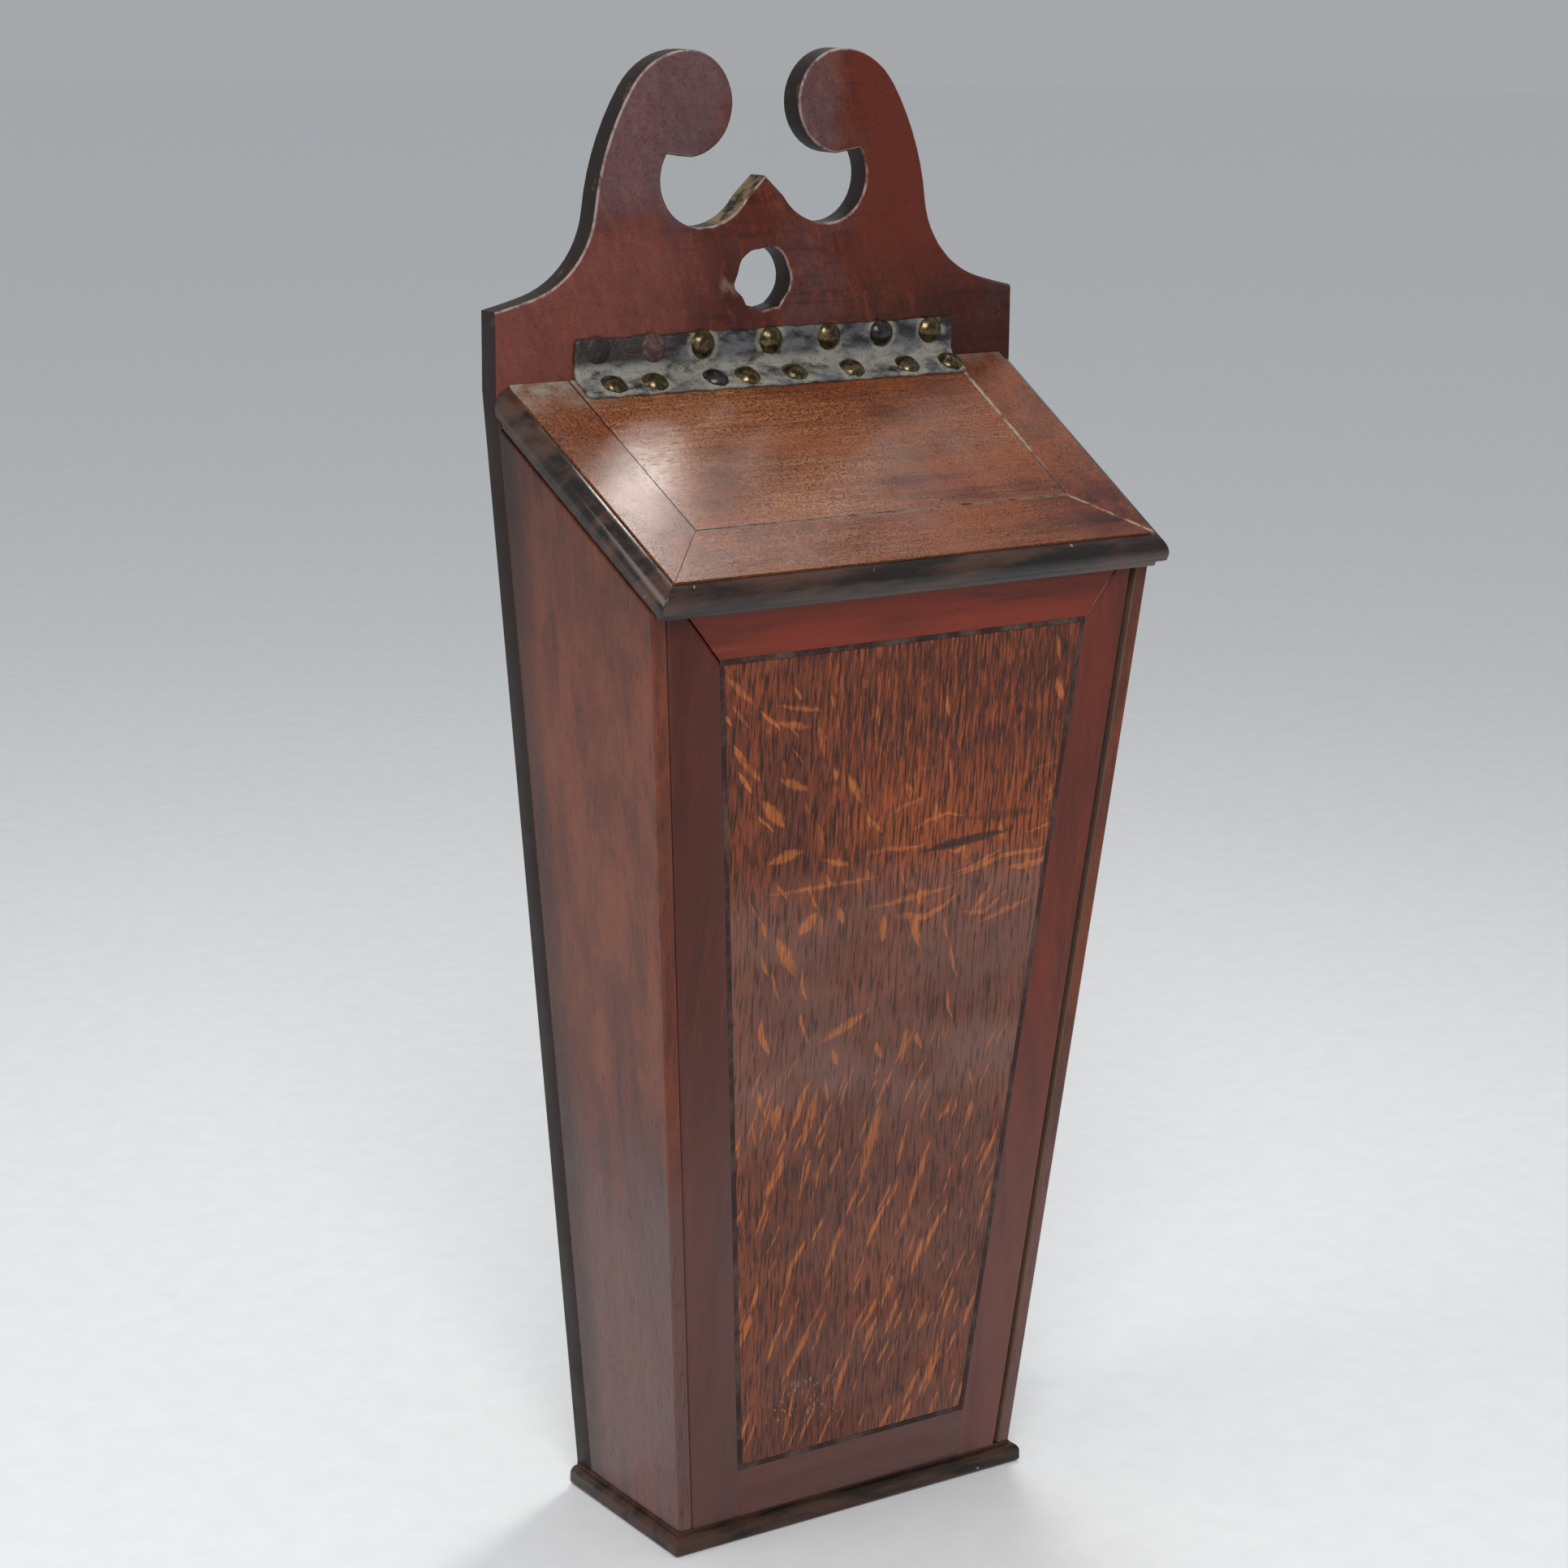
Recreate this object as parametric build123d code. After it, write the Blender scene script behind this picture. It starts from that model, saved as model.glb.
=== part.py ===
from build123d import *
import math
import os

# Wall-hung candle box: a tapering mahogany box with an oak front, a pierced
# scroll crest to hang it by, and a sloping lid on a strip of tacked leather.
# X runs to the right seen from the front, Y to the wall and Z up. The origin is
# the middle of the rear bottom edge, where the wall meets the base.

os.makedirs("parts", exist_ok=True)

# Base board
BASE_THICK = 7.6
BASE_SIDE_LIP = 3.0
BASE_FRONT_LIP = 2.5
BASE_STEP = 1.0
BASE_NOSE_RADIUS = 2.8
BASE_HEEL_RADIUS = 1.2

# Overall height, and how far below it the levels of the case lie
CREST_Z = 500.0
SHOULDER_DROP = 82.3
LID_REAR_DROP = 105.5
KNEE_DROP = 108.3
MOUTH_DROP = 170.0

# Body taper: half the width at the foot and at the knee where the backboard
# turns upright, and the depth at the foot and at the mouth
FOOT_HALF = 70.4
SHOULDER_HALF = 104.0
FOOT_DEPTH = 68.6
MOUTH_DEPTH = 96.9

# Boards
SIDE_THICK = 8.0
FRONT_THICK = 9.5
BACK_THICK = 9.5
EDGE_STRIP = 5.1
SHRINK_FOOT = 1.3
SHRINK_MOUTH = 2.2
ARRIS = 1.2

# Banding and string inlay on the front
BAND_THICK = 2.0
FRONT_BAND_SIDE = 20.9
FRONT_BAND_FOOT = 19.7
FRONT_BAND_TOP = 19.0
STRING_WIDTH = 1.8
BAND_ROUND = 1.5

# Scroll crest: lobes, the bowls under them, and the small peak between
LOBE_X = 30.6
LOBE_RADIUS = 17.5
LOBE_TURN = 175.0
THROAT_X = 38.5
THROAT_RISE = 1.5
NECK_X = 66.4
NECK_DROP = 51.2
BOWL_X = 26.5
BOWL_DROP = 58.0
BOWL_RADIUS = 14.5
BOWL_BULGE = 8.0
PEAK_DROP = 41.6
PEAK_HALF = 7.4
PEAK_RISE = 6.8
HANG_RADIUS = 10.5
HANG_DROP = 75.5

# The ogee at each side of the crest runs in four arcs, through the cheek, the
# neck and the hollow: shares of the way across and of the way down
CHEEK_SHARES = (0.604, 0.229)
HOLLOW_SHARES = (0.615, 0.882)

# Lid
LID_PITCH = 28.6
LID_THICK = 12.2
LID_SEAT_GAP = 0.3
LID_REAR_GAP = 0.4
LID_SIDE_LIP = 0.6
LID_FRONT_LIP = 3.8
LID_BAND_SIDE = 22.0
LID_BAND_FRONT = 24.0

# Thumb moulding round the lid: outward reach and drop of each turn
MOULD_QUIRK = 0.8
MOULD_FLAT = 0.5
MOULD_REACH = 5.6
MOULD_NOSE_DROP = 7.4
MOULD_NOSE_FACE = 1.2
MOULD_FOOT_REACH = 3.4
MOULD_FOOT_FACE = 1.8

# Leather hinge and its tacks
LEATHER_THICK = 1.6
LEATHER_LEFT_INSET = 29.0
LEATHER_RIGHT_INSET = 26.0
LEATHER_RISE = 13.5
LEATHER_REACH = 12.0
LEATHER_CREASE_GAP = 0.6
LEATHER_CORNER = 2.0
TACK_RADIUS = 4.7
TACK_RISE = 2.6
TACK_STEPS = 3
WORN_TACK_RISE = 0.9
WORN_TACK_STEPS = 1
TACK_SHANK_WIDTH = 1.6
TACK_POINT_WIDTH = 0.6
TACK_SHANK_LENGTH = 8.0
TACK_ROW_RISE = 9.0
TACK_ROW_REACH = 6.2

# Where the tacks stand, as shares of the strip's length from its left end
BRIGHT_BACK_TACKS = (0.322, 0.500, 0.655, 0.799, 0.935)
WORN_BACK_TACKS = (0.058, 0.194)
LID_TACKS = (0.078, 0.181, 0.336, 0.418, 0.543, 0.699, 0.850, 0.971)

# Square nails
NAIL_HEAD_WIDTH = 4.2
NAIL_HEAD_THICK = 0.9
NAIL_WIDTH = 2.2
NAIL_POINT_WIDTH = 0.8
BACK_NAIL_LENGTH = 27.0
BACK_NAIL_COUNT = 4
BACK_NAIL_INSET = 38.0
BASE_NAIL_LENGTH = 24.0
BASE_NAIL_SIDE_COUNT = 2
BASE_NAIL_FRONT_COUNT = 3
BASE_NAIL_INSET = 17.0

FAR = 400.0
SHOULDER_Z = CREST_Z - SHOULDER_DROP
LID_REAR_Z = CREST_Z - LID_REAR_DROP
KNEE_Z = CREST_Z - KNEE_DROP
MOUTH_Z = CREST_Z - MOUTH_DROP
SIDE_FLARE = (SHOULDER_HALF - FOOT_HALF) / (KNEE_Z - BASE_THICK)
FRONT_FLARE = (MOUTH_DEPTH - FOOT_DEPTH) / (MOUTH_Z - BASE_THICK)
FRONT_RAKE = math.atan(FRONT_FLARE)
SIDE_WIDTH = SIDE_THICK / math.cos(math.atan(SIDE_FLARE))
FRONT_WIDTH = FRONT_THICK / math.cos(FRONT_RAKE)
PITCH_SIN = math.sin(math.radians(LID_PITCH))
PITCH_COS = math.cos(math.radians(LID_PITCH))
PITCH_TAN = PITCH_SIN / PITCH_COS
LEATHER_LEFT = LEATHER_LEFT_INSET - SHOULDER_HALF
LEATHER_LENGTH = 2 * SHOULDER_HALF - LEATHER_LEFT_INSET - LEATHER_RIGHT_INSET


def half_width(z):
    """Half the outside width of the body at a height."""
    return FOOT_HALF + (z - BASE_THICK) * SIDE_FLARE


def depth(z):
    """Distance from the wall to the front face of the body at a height."""
    return FOOT_DEPTH + (z - BASE_THICK) * FRONT_FLARE


def seat_z(y):
    """Height of the plane that the side and front boards are cut to."""
    drop = (LID_THICK + LID_SEAT_GAP) / PITCH_COS
    return LID_REAR_Z - drop + (y + BACK_THICK) * PITCH_TAN


def seat_front_z():
    """Height at which the raked front face meets the seat plane."""
    base = seat_z(0.0) - PITCH_TAN * (FOOT_DEPTH - BASE_THICK * FRONT_FLARE)
    return base / (1.0 + PITCH_TAN * FRONT_FLARE)


SEAT_FRONT_Z = seat_front_z()
OAK_TOP_Z = SEAT_FRONT_Z - FRONT_BAND_TOP
FRONT_FRAME = Plane(
    origin=(0, -FOOT_DEPTH, BASE_THICK),
    x_dir=(1, 0, 0),
    z_dir=(0, -math.cos(FRONT_RAKE), -math.sin(FRONT_RAKE)),
)
LID_FRAME = Plane(
    origin=(0, -BACK_THICK, LID_REAR_Z),
    x_dir=(1, 0, 0),
    z_dir=(0, -PITCH_SIN, PITCH_COS),
)


def face_of(points):
    """A flat face bounded by straight lines through plan points."""
    return make_face(Polyline(*points, close=True))


def slab(points, top, bottom):
    """A plate with a plan outline, between two heights in its own frame."""
    return Pos(0, 0, bottom) * extrude(face_of(points), top - bottom)


def below_seat():
    """Everything in front of the backboard, above the base and under the lid."""
    outline = [
        (-BACK_THICK, BASE_THICK),
        (-BACK_THICK, seat_z(-BACK_THICK)),
        (-FAR, seat_z(-FAR)),
        (-FAR, BASE_THICK),
    ]
    return extrude(Plane.YZ * face_of(outline), FAR, both=True)


# Nails and tacks

def spike(widths):
    """A square spike along Z, tapering from each width to the next."""
    runs = []
    for (low, start), (high, end) in zip(widths, widths[1:]):
        inset = (start - end) / 2
        run = Wedge(start, high - low, start, inset, inset, start - inset, start - inset)
        runs.append(Pos(0, 0, (low + high) / 2) * Rot(90, 0, 0) * run)
    return runs[0].fuse(*runs[1:])


def nail(length):
    """A nail along Z: its head is flush with Z = 0 and it points up."""
    return spike([
        (0, NAIL_HEAD_WIDTH),
        (NAIL_HEAD_THICK, NAIL_WIDTH),
        (length / 2, NAIL_WIDTH),
        (length, NAIL_POINT_WIDTH),
    ])


def back_nails():
    """Nails through the backboard into the rear edges of the side boards."""
    first = BASE_THICK + BACK_NAIL_INSET
    last = seat_z(-BACK_THICK) - BACK_NAIL_INSET
    step = (last - first) / (BACK_NAIL_COUNT - 1)
    nails = []
    for side in (-1, 1):
        for row in range(BACK_NAIL_COUNT):
            z = first + row * step
            x = side * (half_width(z) - SIDE_WIDTH / 2)
            spot = Plane(origin=(x, 0, z), x_dir=(1, 0, 0), z_dir=(0, -1, 0))
            nails.append(spot * nail(BACK_NAIL_LENGTH))
    return Compound(nails)


def base_nails():
    """Nails up through the base into the side boards and the front board."""
    nails = []
    side_x = FOOT_HALF - SIDE_WIDTH / 2 + BASE_THICK * SIDE_FLARE
    run = FOOT_DEPTH - BACK_THICK - 2 * BASE_NAIL_INSET
    for side in (-1, 1):
        for row in range(BASE_NAIL_SIDE_COUNT):
            y = -BACK_THICK - BASE_NAIL_INSET - run * row / (BASE_NAIL_SIDE_COUNT - 1)
            nails.append(Pos(side * side_x, y, 0) * nail(BASE_NAIL_LENGTH))
    front_y = -FOOT_DEPTH + FRONT_WIDTH / 2 - BASE_THICK * FRONT_FLARE
    span = 2 * (FOOT_HALF - SIDE_WIDTH - BASE_NAIL_INSET)
    for row in range(BASE_NAIL_FRONT_COUNT):
        x = -span / 2 + span * row / (BASE_NAIL_FRONT_COUNT - 1)
        nails.append(Pos(x, front_y, 0) * nail(BASE_NAIL_LENGTH))
    return Compound(nails)


def tack(rise, steps):
    """A tack along Z: a domed head, hammered in steps, on Z = 0 and its shank below."""
    dome_radius = (TACK_RADIUS ** 2 + rise ** 2) / (2 * rise)
    full_lean = math.asin(TACK_RADIUS / dome_radius)
    outline = [(0, 0), (TACK_RADIUS, 0)]
    for step in range(1, steps + 1):
        lean = full_lean * (1 - step / (steps + 0.5))
        outline.append((dome_radius * math.sin(lean), rise - dome_radius * (1 - math.cos(lean))))
    outline.append((0, outline[-1][1]))
    head = revolve(Plane.XZ * face_of(outline), Axis.Z)
    shank = spike([
        (-TACK_SHANK_LENGTH, TACK_POINT_WIDTH),
        (-TACK_SHANK_LENGTH / 2, TACK_SHANK_WIDTH),
        (rise / 2, TACK_SHANK_WIDTH),
    ])
    return head + shank


def back_tack_row(places, rise, steps):
    """Tacks on the upright flap of the leather."""
    tacks = []
    for share in places:
        x = LEATHER_LEFT + LEATHER_LENGTH * share
        spot = Plane(
            origin=(x, -BACK_THICK - LEATHER_THICK, LID_REAR_Z + TACK_ROW_RISE),
            x_dir=(1, 0, 0),
            z_dir=(0, -1, 0),
        )
        tacks.append(spot * tack(rise, steps))
    return Compound(tacks)


def tacks_back():
    """The bright domed tacks of the upper row."""
    return back_tack_row(BRIGHT_BACK_TACKS, TACK_RISE, TACK_STEPS)


def tacks_back_worn():
    """Two tacks of the upper row, beaten flat and dark."""
    return back_tack_row(WORN_BACK_TACKS, WORN_TACK_RISE, WORN_TACK_STEPS)


def tacks_lid():
    """The domed tacks of the lower row, driven into the lid."""
    tacks = []
    for share in LID_TACKS:
        x = LEATHER_LEFT + LEATHER_LENGTH * share
        spot = LID_FRAME * Pos(x, -TACK_ROW_REACH, LEATHER_THICK)
        tacks.append(spot * tack(TACK_RISE, TACK_STEPS))
    return Compound(tacks)


# Case

def base_board():
    """Bottom board: it stands proud on three sides, with a round nose and a step."""
    wide = FOOT_HALF + BASE_SIDE_LIP
    deep = FOOT_DEPTH + BASE_FRONT_LIP
    lower = slab([(-wide, -deep), (wide, -deep), (wide, 0), (-wide, 0)],
                 BASE_THICK - BASE_STEP, 0)
    outer = lower.edges().filter_by(lambda edge: edge.center().Y < -BASE_FRONT_LIP / 4)
    nose = outer.filter_by(lambda edge: edge.center().Z > lower.center().Z * 1.5)
    lower = fillet(nose, BASE_NOSE_RADIUS)
    outer = lower.edges().filter_by(lambda edge: edge.center().Y < -BASE_FRONT_LIP / 4)
    heel = outer.filter_by(lambda edge: edge.center().Z < BASE_HEEL_RADIUS / 10)
    lower = fillet(heel, BASE_HEEL_RADIUS)
    in_x = wide - BASE_NOSE_RADIUS
    in_y = deep - BASE_NOSE_RADIUS
    step = slab([(-in_x, -in_y), (in_x, -in_y), (in_x, 0), (-in_x, 0)],
                BASE_THICK, BASE_THICK - BASE_STEP)
    return lower + step - base_nails()


def between(start, end, shares):
    """A point at shares of the way across and of the way down from one to another."""
    across = start[0] + (end[0] - start[0]) * shares[0]
    down = start[1] + (end[1] - start[1]) * shares[1]
    return (across, down)


def crest_side():
    """Right half of the crest outline, from the shoulder round to the peak."""
    crown = (LOBE_X, CREST_Z)
    neck = (NECK_X, CREST_Z - NECK_DROP)
    shoulder = (SHOULDER_HALF, SHOULDER_Z)
    cheek = between(crown, neck, CHEEK_SHARES)
    hollow = between(neck, shoulder, HOLLOW_SHARES)
    ogee = [TangentArc(crown, cheek, tangent=(1, 0))]
    for start, end in ((cheek, neck), (neck, hollow), (hollow, shoulder)):
        ogee.append(TangentArc(start, end, tangent=ogee[-1] % 1))
    lobe = CenterArc((LOBE_X, CREST_Z - LOBE_RADIUS), LOBE_RADIUS, 90, LOBE_TURN)
    throat = (THROAT_X, CREST_Z - 2 * LOBE_RADIUS + THROAT_RISE)
    quirk = Line(lobe @ 1, throat)
    bowl_z = CREST_Z - BOWL_DROP
    bulge = math.radians(BOWL_BULGE)
    bowl_side = (
        BOWL_X + BOWL_RADIUS * math.cos(bulge),
        bowl_z + BOWL_RADIUS - BOWL_RADIUS * math.sin(bulge),
    )
    bowl = ThreePointArc(throat, bowl_side, (BOWL_X, bowl_z))
    peak_z = CREST_Z - PEAK_DROP
    lift = TangentArc(bowl @ 1, (PEAK_HALF, peak_z - PEAK_RISE), tangent=bowl % 1)
    rise = Line(lift @ 1, (0, peak_z))
    return [*ogee, lobe, quirk, bowl, lift, rise]


def backboard():
    """Backboard: it covers the side boards and rises into the scroll crest."""
    right = Polyline(
        (0, BASE_THICK),
        (FOOT_HALF, BASE_THICK),
        (SHOULDER_HALF, KNEE_Z),
        (SHOULDER_HALF, SHOULDER_Z),
    )
    middle = Line((0, CREST_Z - PEAK_DROP), (0, BASE_THICK))
    half = make_face([right, *crest_side(), middle])
    outline = half + mirror(half, Plane.YZ)
    board = extrude(Plane.XZ * outline, BACK_THICK)
    hole = Plane.XZ * Pos(0, CREST_Z - HANG_DROP, 0) * Circle(HANG_RADIUS)
    board -= extrude(hole, BACK_THICK)
    board -= back_nails()
    board -= tacks_back()
    board -= tacks_back_worn()
    return board


def front_outline(edge):
    """Plan outline on the raked front, a margin in from the sides' outer edges."""
    rise = (SEAT_FRONT_Z - BASE_THICK) / math.cos(FRONT_RAKE)
    over = FRONT_THICK
    grow = over * SIDE_FLARE * math.cos(FRONT_RAKE)
    foot = FOOT_HALF - edge - grow
    top = half_width(SEAT_FRONT_Z) - edge + grow
    return [(-foot, -over), (foot, -over), (top, rise + over), (-top, rise + over)]


def shrunk_outline():
    """The front board's own outline: it has shrunk away from its right-hand rebate."""
    outline = front_outline(EDGE_STRIP)
    outline[1] = (outline[1][0] - SHRINK_FOOT, outline[1][1])
    outline[2] = (outline[2][0] - SHRINK_MOUTH, outline[2][1])
    return outline


def front_rebate():
    """The space in the side boards that the front board drops into."""
    return FRONT_FRAME * slab(front_outline(EDGE_STRIP), FRONT_THICK, -FRONT_THICK)


def side_board(side):
    """Side board: it tapers both ways and its front edge is rebated."""
    top = seat_z(-BACK_THICK)
    elevation = [
        (half_width(0) - SIDE_WIDTH, 0),
        (half_width(0), 0),
        (half_width(top), top),
        (half_width(top) - SIDE_WIDTH, top),
    ]
    wall = extrude(Plane.XZ * face_of(elevation), FAR)
    profile = [
        (-BACK_THICK, BASE_THICK),
        (-BACK_THICK, top),
        (-depth(SEAT_FRONT_Z), SEAT_FRONT_Z),
        (-FOOT_DEPTH, BASE_THICK),
    ]
    board = wall & extrude(Plane.YZ * face_of(profile), FAR)
    corner = board.edges().filter_by(
        lambda edge: abs(edge.center().X - half_width(edge.center().Z)) < ARRIS / 4
        and abs(edge.center().Y + depth(edge.center().Z)) < ARRIS / 4
    )
    board = fillet(corner, ARRIS)
    board -= front_rebate()
    if side < 0:
        board = mirror(board, Plane.YZ)
    return board - back_nails() - base_nails()


def front_board():
    """Oak front board, rebated for its banding and shrunk from its right edge."""
    outline = shrunk_outline()
    board = slab(outline, 0, -FRONT_THICK)
    rebate = slab(outline, 0, -BAND_THICK) - slab(oak_outline(0), 0, -BAND_THICK)
    return FRONT_FRAME * (board - rebate) & below_seat() - base_nails()


def oak_outline(margin):
    """Plan outline of the oak field on the raked front, grown by a margin."""
    foot = FRONT_BAND_FOOT / math.cos(FRONT_RAKE)
    top = (OAK_TOP_Z - BASE_THICK) / math.cos(FRONT_RAKE)
    inset = EDGE_STRIP + FRONT_BAND_SIDE
    low = half_width(BASE_THICK + FRONT_BAND_FOOT) - inset + margin
    high = half_width(OAK_TOP_Z) - inset + margin
    return [
        (-low, foot - margin),
        (low, foot - margin),
        (high, top + margin),
        (-high, top + margin),
    ]


def front_stringing():
    """Dark string let in round the oak: four strips, mitred at the corners."""
    inner = oak_outline(0)
    outer = oak_outline(STRING_WIDTH)
    strips = []
    for corner in range(4):
        after = (corner + 1) % 4
        strip = [inner[corner], inner[after], outer[after], outer[corner]]
        strips.append(FRONT_FRAME * slab(strip, 0, -BAND_THICK))
    return Compound(strips)


def front_banding(place):
    """One strip of mahogany banding: mitred at the top, butted at the foot."""
    inner = oak_outline(STRING_WIDTH)
    outer = shrunk_outline()
    slope = SIDE_FLARE * math.cos(FRONT_RAKE)
    low = inner[1][0] - (inner[1][1] - outer[1][1]) * slope
    feet = {"left": (-low, outer[0][1]), "right": (low, outer[1][1])}
    strips = {
        "left": [outer[0], feet["left"], inner[0], inner[3], outer[3]],
        "right": [feet["right"], outer[1], outer[2], inner[2], inner[1]],
        "top": [inner[3], inner[2], outer[2], outer[3]],
        "bottom": [feet["left"], feet["right"], inner[1], inner[0]],
    }
    strip = slab(strips[place], 0, -BAND_THICK)
    if place in ("left", "right"):
        side = -1 if place == "left" else 1
        rim = strip.edges().filter_by(
            lambda edge: side * edge.center().X > (outer[1][0] + outer[2][0]) / 2 - BAND_THICK
            and edge.center().Z > -BAND_THICK / 4
            and edge.length > SIDE_THICK * 4
        )
        strip = fillet(rim, BAND_ROUND)
    return FRONT_FRAME * strip & below_seat()


# Lid, in its own frame: Y up the slope from the front, Z square to the slope

def lid_run():
    """Length of the lid's flat down the slope, from the wall to the front arris."""
    reach = FOOT_DEPTH + LID_FRONT_LIP - BACK_THICK + LID_THICK * PITCH_SIN
    reach += FRONT_FLARE * (LID_REAR_Z - LID_THICK * PITCH_COS - BASE_THICK)
    return reach / (PITCH_COS + FRONT_FLARE * PITCH_SIN) - MOULD_FOOT_REACH


def lid_half(y):
    """Half the width of the lid's flat at a place down the slope."""
    return half_width(LID_REAR_Z + y * PITCH_SIN) + LID_SIDE_LIP - MOULD_REACH


def lid_outline(side_inset, front_inset):
    """Plan outline of the flat of the lid, drawn in on three edges."""
    front = -lid_run() + front_inset
    rear = LID_THICK
    low = lid_half(front) - side_inset
    high = lid_half(rear) - side_inset
    return [(-low, front), (low, front), (high, rear), (-high, rear)]


def plumb_rear():
    """Everything in front of the plumb rear edge of the lid."""
    limit = -BACK_THICK - LID_REAR_GAP
    return Pos(0, limit - FAR / 2, LID_REAR_Z) * Box(2 * FAR, FAR, 2 * FAR)


def lid_board():
    """Lid board, rebated on three edges for its banding."""
    field = lid_outline(LID_BAND_SIDE, LID_BAND_FRONT)
    board = slab(lid_outline(0, 0), 0, -LID_THICK)
    rebate = slab(lid_outline(0, 0), 0, -BAND_THICK) - slab(field, 0, -BAND_THICK)
    return LID_FRAME * (board - rebate) & plumb_rear() - tacks_lid()


def lid_banding(place):
    """One strip of the lid's banding, mitred at the front corners."""
    inner = lid_outline(LID_BAND_SIDE, LID_BAND_FRONT)
    outer = lid_outline(0, 0)
    strips = {
        "front": [outer[0], outer[1], inner[1], inner[0]],
        "right": [outer[1], outer[2], inner[2], inner[1]],
        "left": [outer[0], inner[0], inner[3], outer[3]],
    }
    return LID_FRAME * slab(strips[place], 0, -BAND_THICK) & plumb_rear()


def mould_profile():
    """Section of the thumb moulding: X outward from the flat's arris, Y up."""
    nose_z = -MOULD_NOSE_DROP
    chin_z = nose_z - MOULD_NOSE_FACE
    foot_z = -LID_THICK + MOULD_FOOT_FACE
    thumb_middle = (
        MOULD_FLAT + (MOULD_REACH - MOULD_FLAT) * math.sqrt(0.5),
        nose_z + (MOULD_NOSE_DROP - MOULD_QUIRK) * math.sqrt(0.5),
    )
    thumb = ThreePointArc((MOULD_REACH, nose_z), thumb_middle, (MOULD_FLAT, -MOULD_QUIRK))
    top = Polyline((MOULD_FLAT, -MOULD_QUIRK), (0, -MOULD_QUIRK), (0, -LID_THICK),
                   (MOULD_FOOT_REACH, -LID_THICK), (MOULD_FOOT_REACH, foot_z))
    cove_middle = (
        MOULD_FOOT_REACH + (MOULD_REACH - MOULD_FOOT_REACH) * 0.3,
        foot_z + (chin_z - foot_z) * 0.72,
    )
    cove = ThreePointArc((MOULD_FOOT_REACH, foot_z), cove_middle, (MOULD_REACH, chin_z))
    nose = Line((MOULD_REACH, chin_z), (MOULD_REACH, nose_z))
    return make_face([thumb, top, cove, nose])


def lid_moulding(place):
    """One length of the thumb moulding, mitred at the front corners."""
    left, right, rear_right, rear_left = [Vector(*point, 0) for point in lid_outline(0, 0)]
    ends = {
        "front": (left, right),
        "right": (right, rear_right),
        "left": (rear_left, left),
    }
    start, end = ends[place]
    along = (end - start).normalized()
    out = along.cross(Vector(0, 0, 1))
    run = Plane(origin=start, x_dir=out, z_dir=along * -1)
    length = extrude(run * mould_profile(), FAR, both=True)
    side_out = (rear_right - right).normalized().cross(Vector(0, 0, 1))
    front_out = Vector(0, -1, 0)
    mitre = (side_out + front_out) / (1 + side_out.dot(front_out)) * MOULD_REACH * 2
    mitre_left = Vector(-mitre.X, mitre.Y, 0)
    square = {
        "front": (mitre_left, mitre),
        "right": (mitre, side_out * MOULD_REACH * 2),
        "left": (Vector(-side_out.X, side_out.Y, 0) * MOULD_REACH * 2, mitre_left),
    }
    from_start, from_end = square[place]
    corners = [start, end, end + from_end, start + from_start]
    region = slab([(corner.X, corner.Y) for corner in corners], LID_THICK, -LID_THICK * 2)
    return LID_FRAME * (length & region) & plumb_rear()


# Leather hinge: one strip, folded along the crease where the lid meets the back

def mitre_back():
    """How far a flap's mitred end leans back over its own thickness."""
    return LEATHER_THICK / math.tan(math.radians(90 + LID_PITCH) / 2)


def hinge_leather_back():
    """Upright flap, tacked to the backboard."""
    face_y = -BACK_THICK
    outer_y = face_y - LEATHER_THICK
    low = LID_REAR_Z + LEATHER_CREASE_GAP / 2
    high = LID_REAR_Z + LEATHER_RISE
    outline = [(face_y, low), (outer_y, low + mitre_back()), (outer_y, high), (face_y, high)]
    strip = extrude(Plane.YZ * face_of(outline), LEATHER_LENGTH)
    strip = Pos(LEATHER_LEFT, 0, 0) * strip
    corners = strip.edges().filter_by(Axis.Y).sort_by(Axis.Z)[-2:]
    return fillet(corners, LEATHER_CORNER) - tacks_back() - tacks_back_worn()


def hinge_leather_lid():
    """Sloping flap, tacked to the lid."""
    start = -LEATHER_CREASE_GAP
    outline = [
        (start, 0),
        (start - mitre_back(), LEATHER_THICK),
        (-LEATHER_REACH, LEATHER_THICK),
        (-LEATHER_REACH, 0),
    ]
    strip = extrude(Plane.YZ * face_of(outline), LEATHER_LENGTH)
    strip = Pos(LEATHER_LEFT, 0, 0) * strip
    corners = strip.edges().filter_by(Axis.Z).sort_by(Axis.Y)[:2]
    return LID_FRAME * fillet(corners, LEATHER_CORNER) - tacks_lid()


PIECES = {
    "backboard": backboard(),
    "side_left": side_board(-1),
    "side_right": side_board(1),
    "front_board": front_board(),
    "front_stringing": front_stringing(),
    "base_board": base_board(),
    "lid_board": lid_board(),
    "hinge_leather_back": hinge_leather_back(),
    "hinge_leather_lid": hinge_leather_lid(),
    "tacks_back": tacks_back(),
    "tacks_back_worn": tacks_back_worn(),
    "tacks_lid": tacks_lid(),
    "back_nails": back_nails(),
    "base_nails": base_nails(),
}
for place in ("left", "right", "top", "bottom"):
    PIECES["front_banding_" + place] = front_banding(place)
for place in ("left", "right", "front"):
    PIECES["lid_banding_" + place] = lid_banding(place)
    PIECES["lid_moulding_" + place] = lid_moulding(place)

for name, piece in PIECES.items():
    export_step(piece, "parts/" + name + ".step")
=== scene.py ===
import math

import bmesh
import bpy
from mathutils import Matrix, Vector, noise


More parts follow.
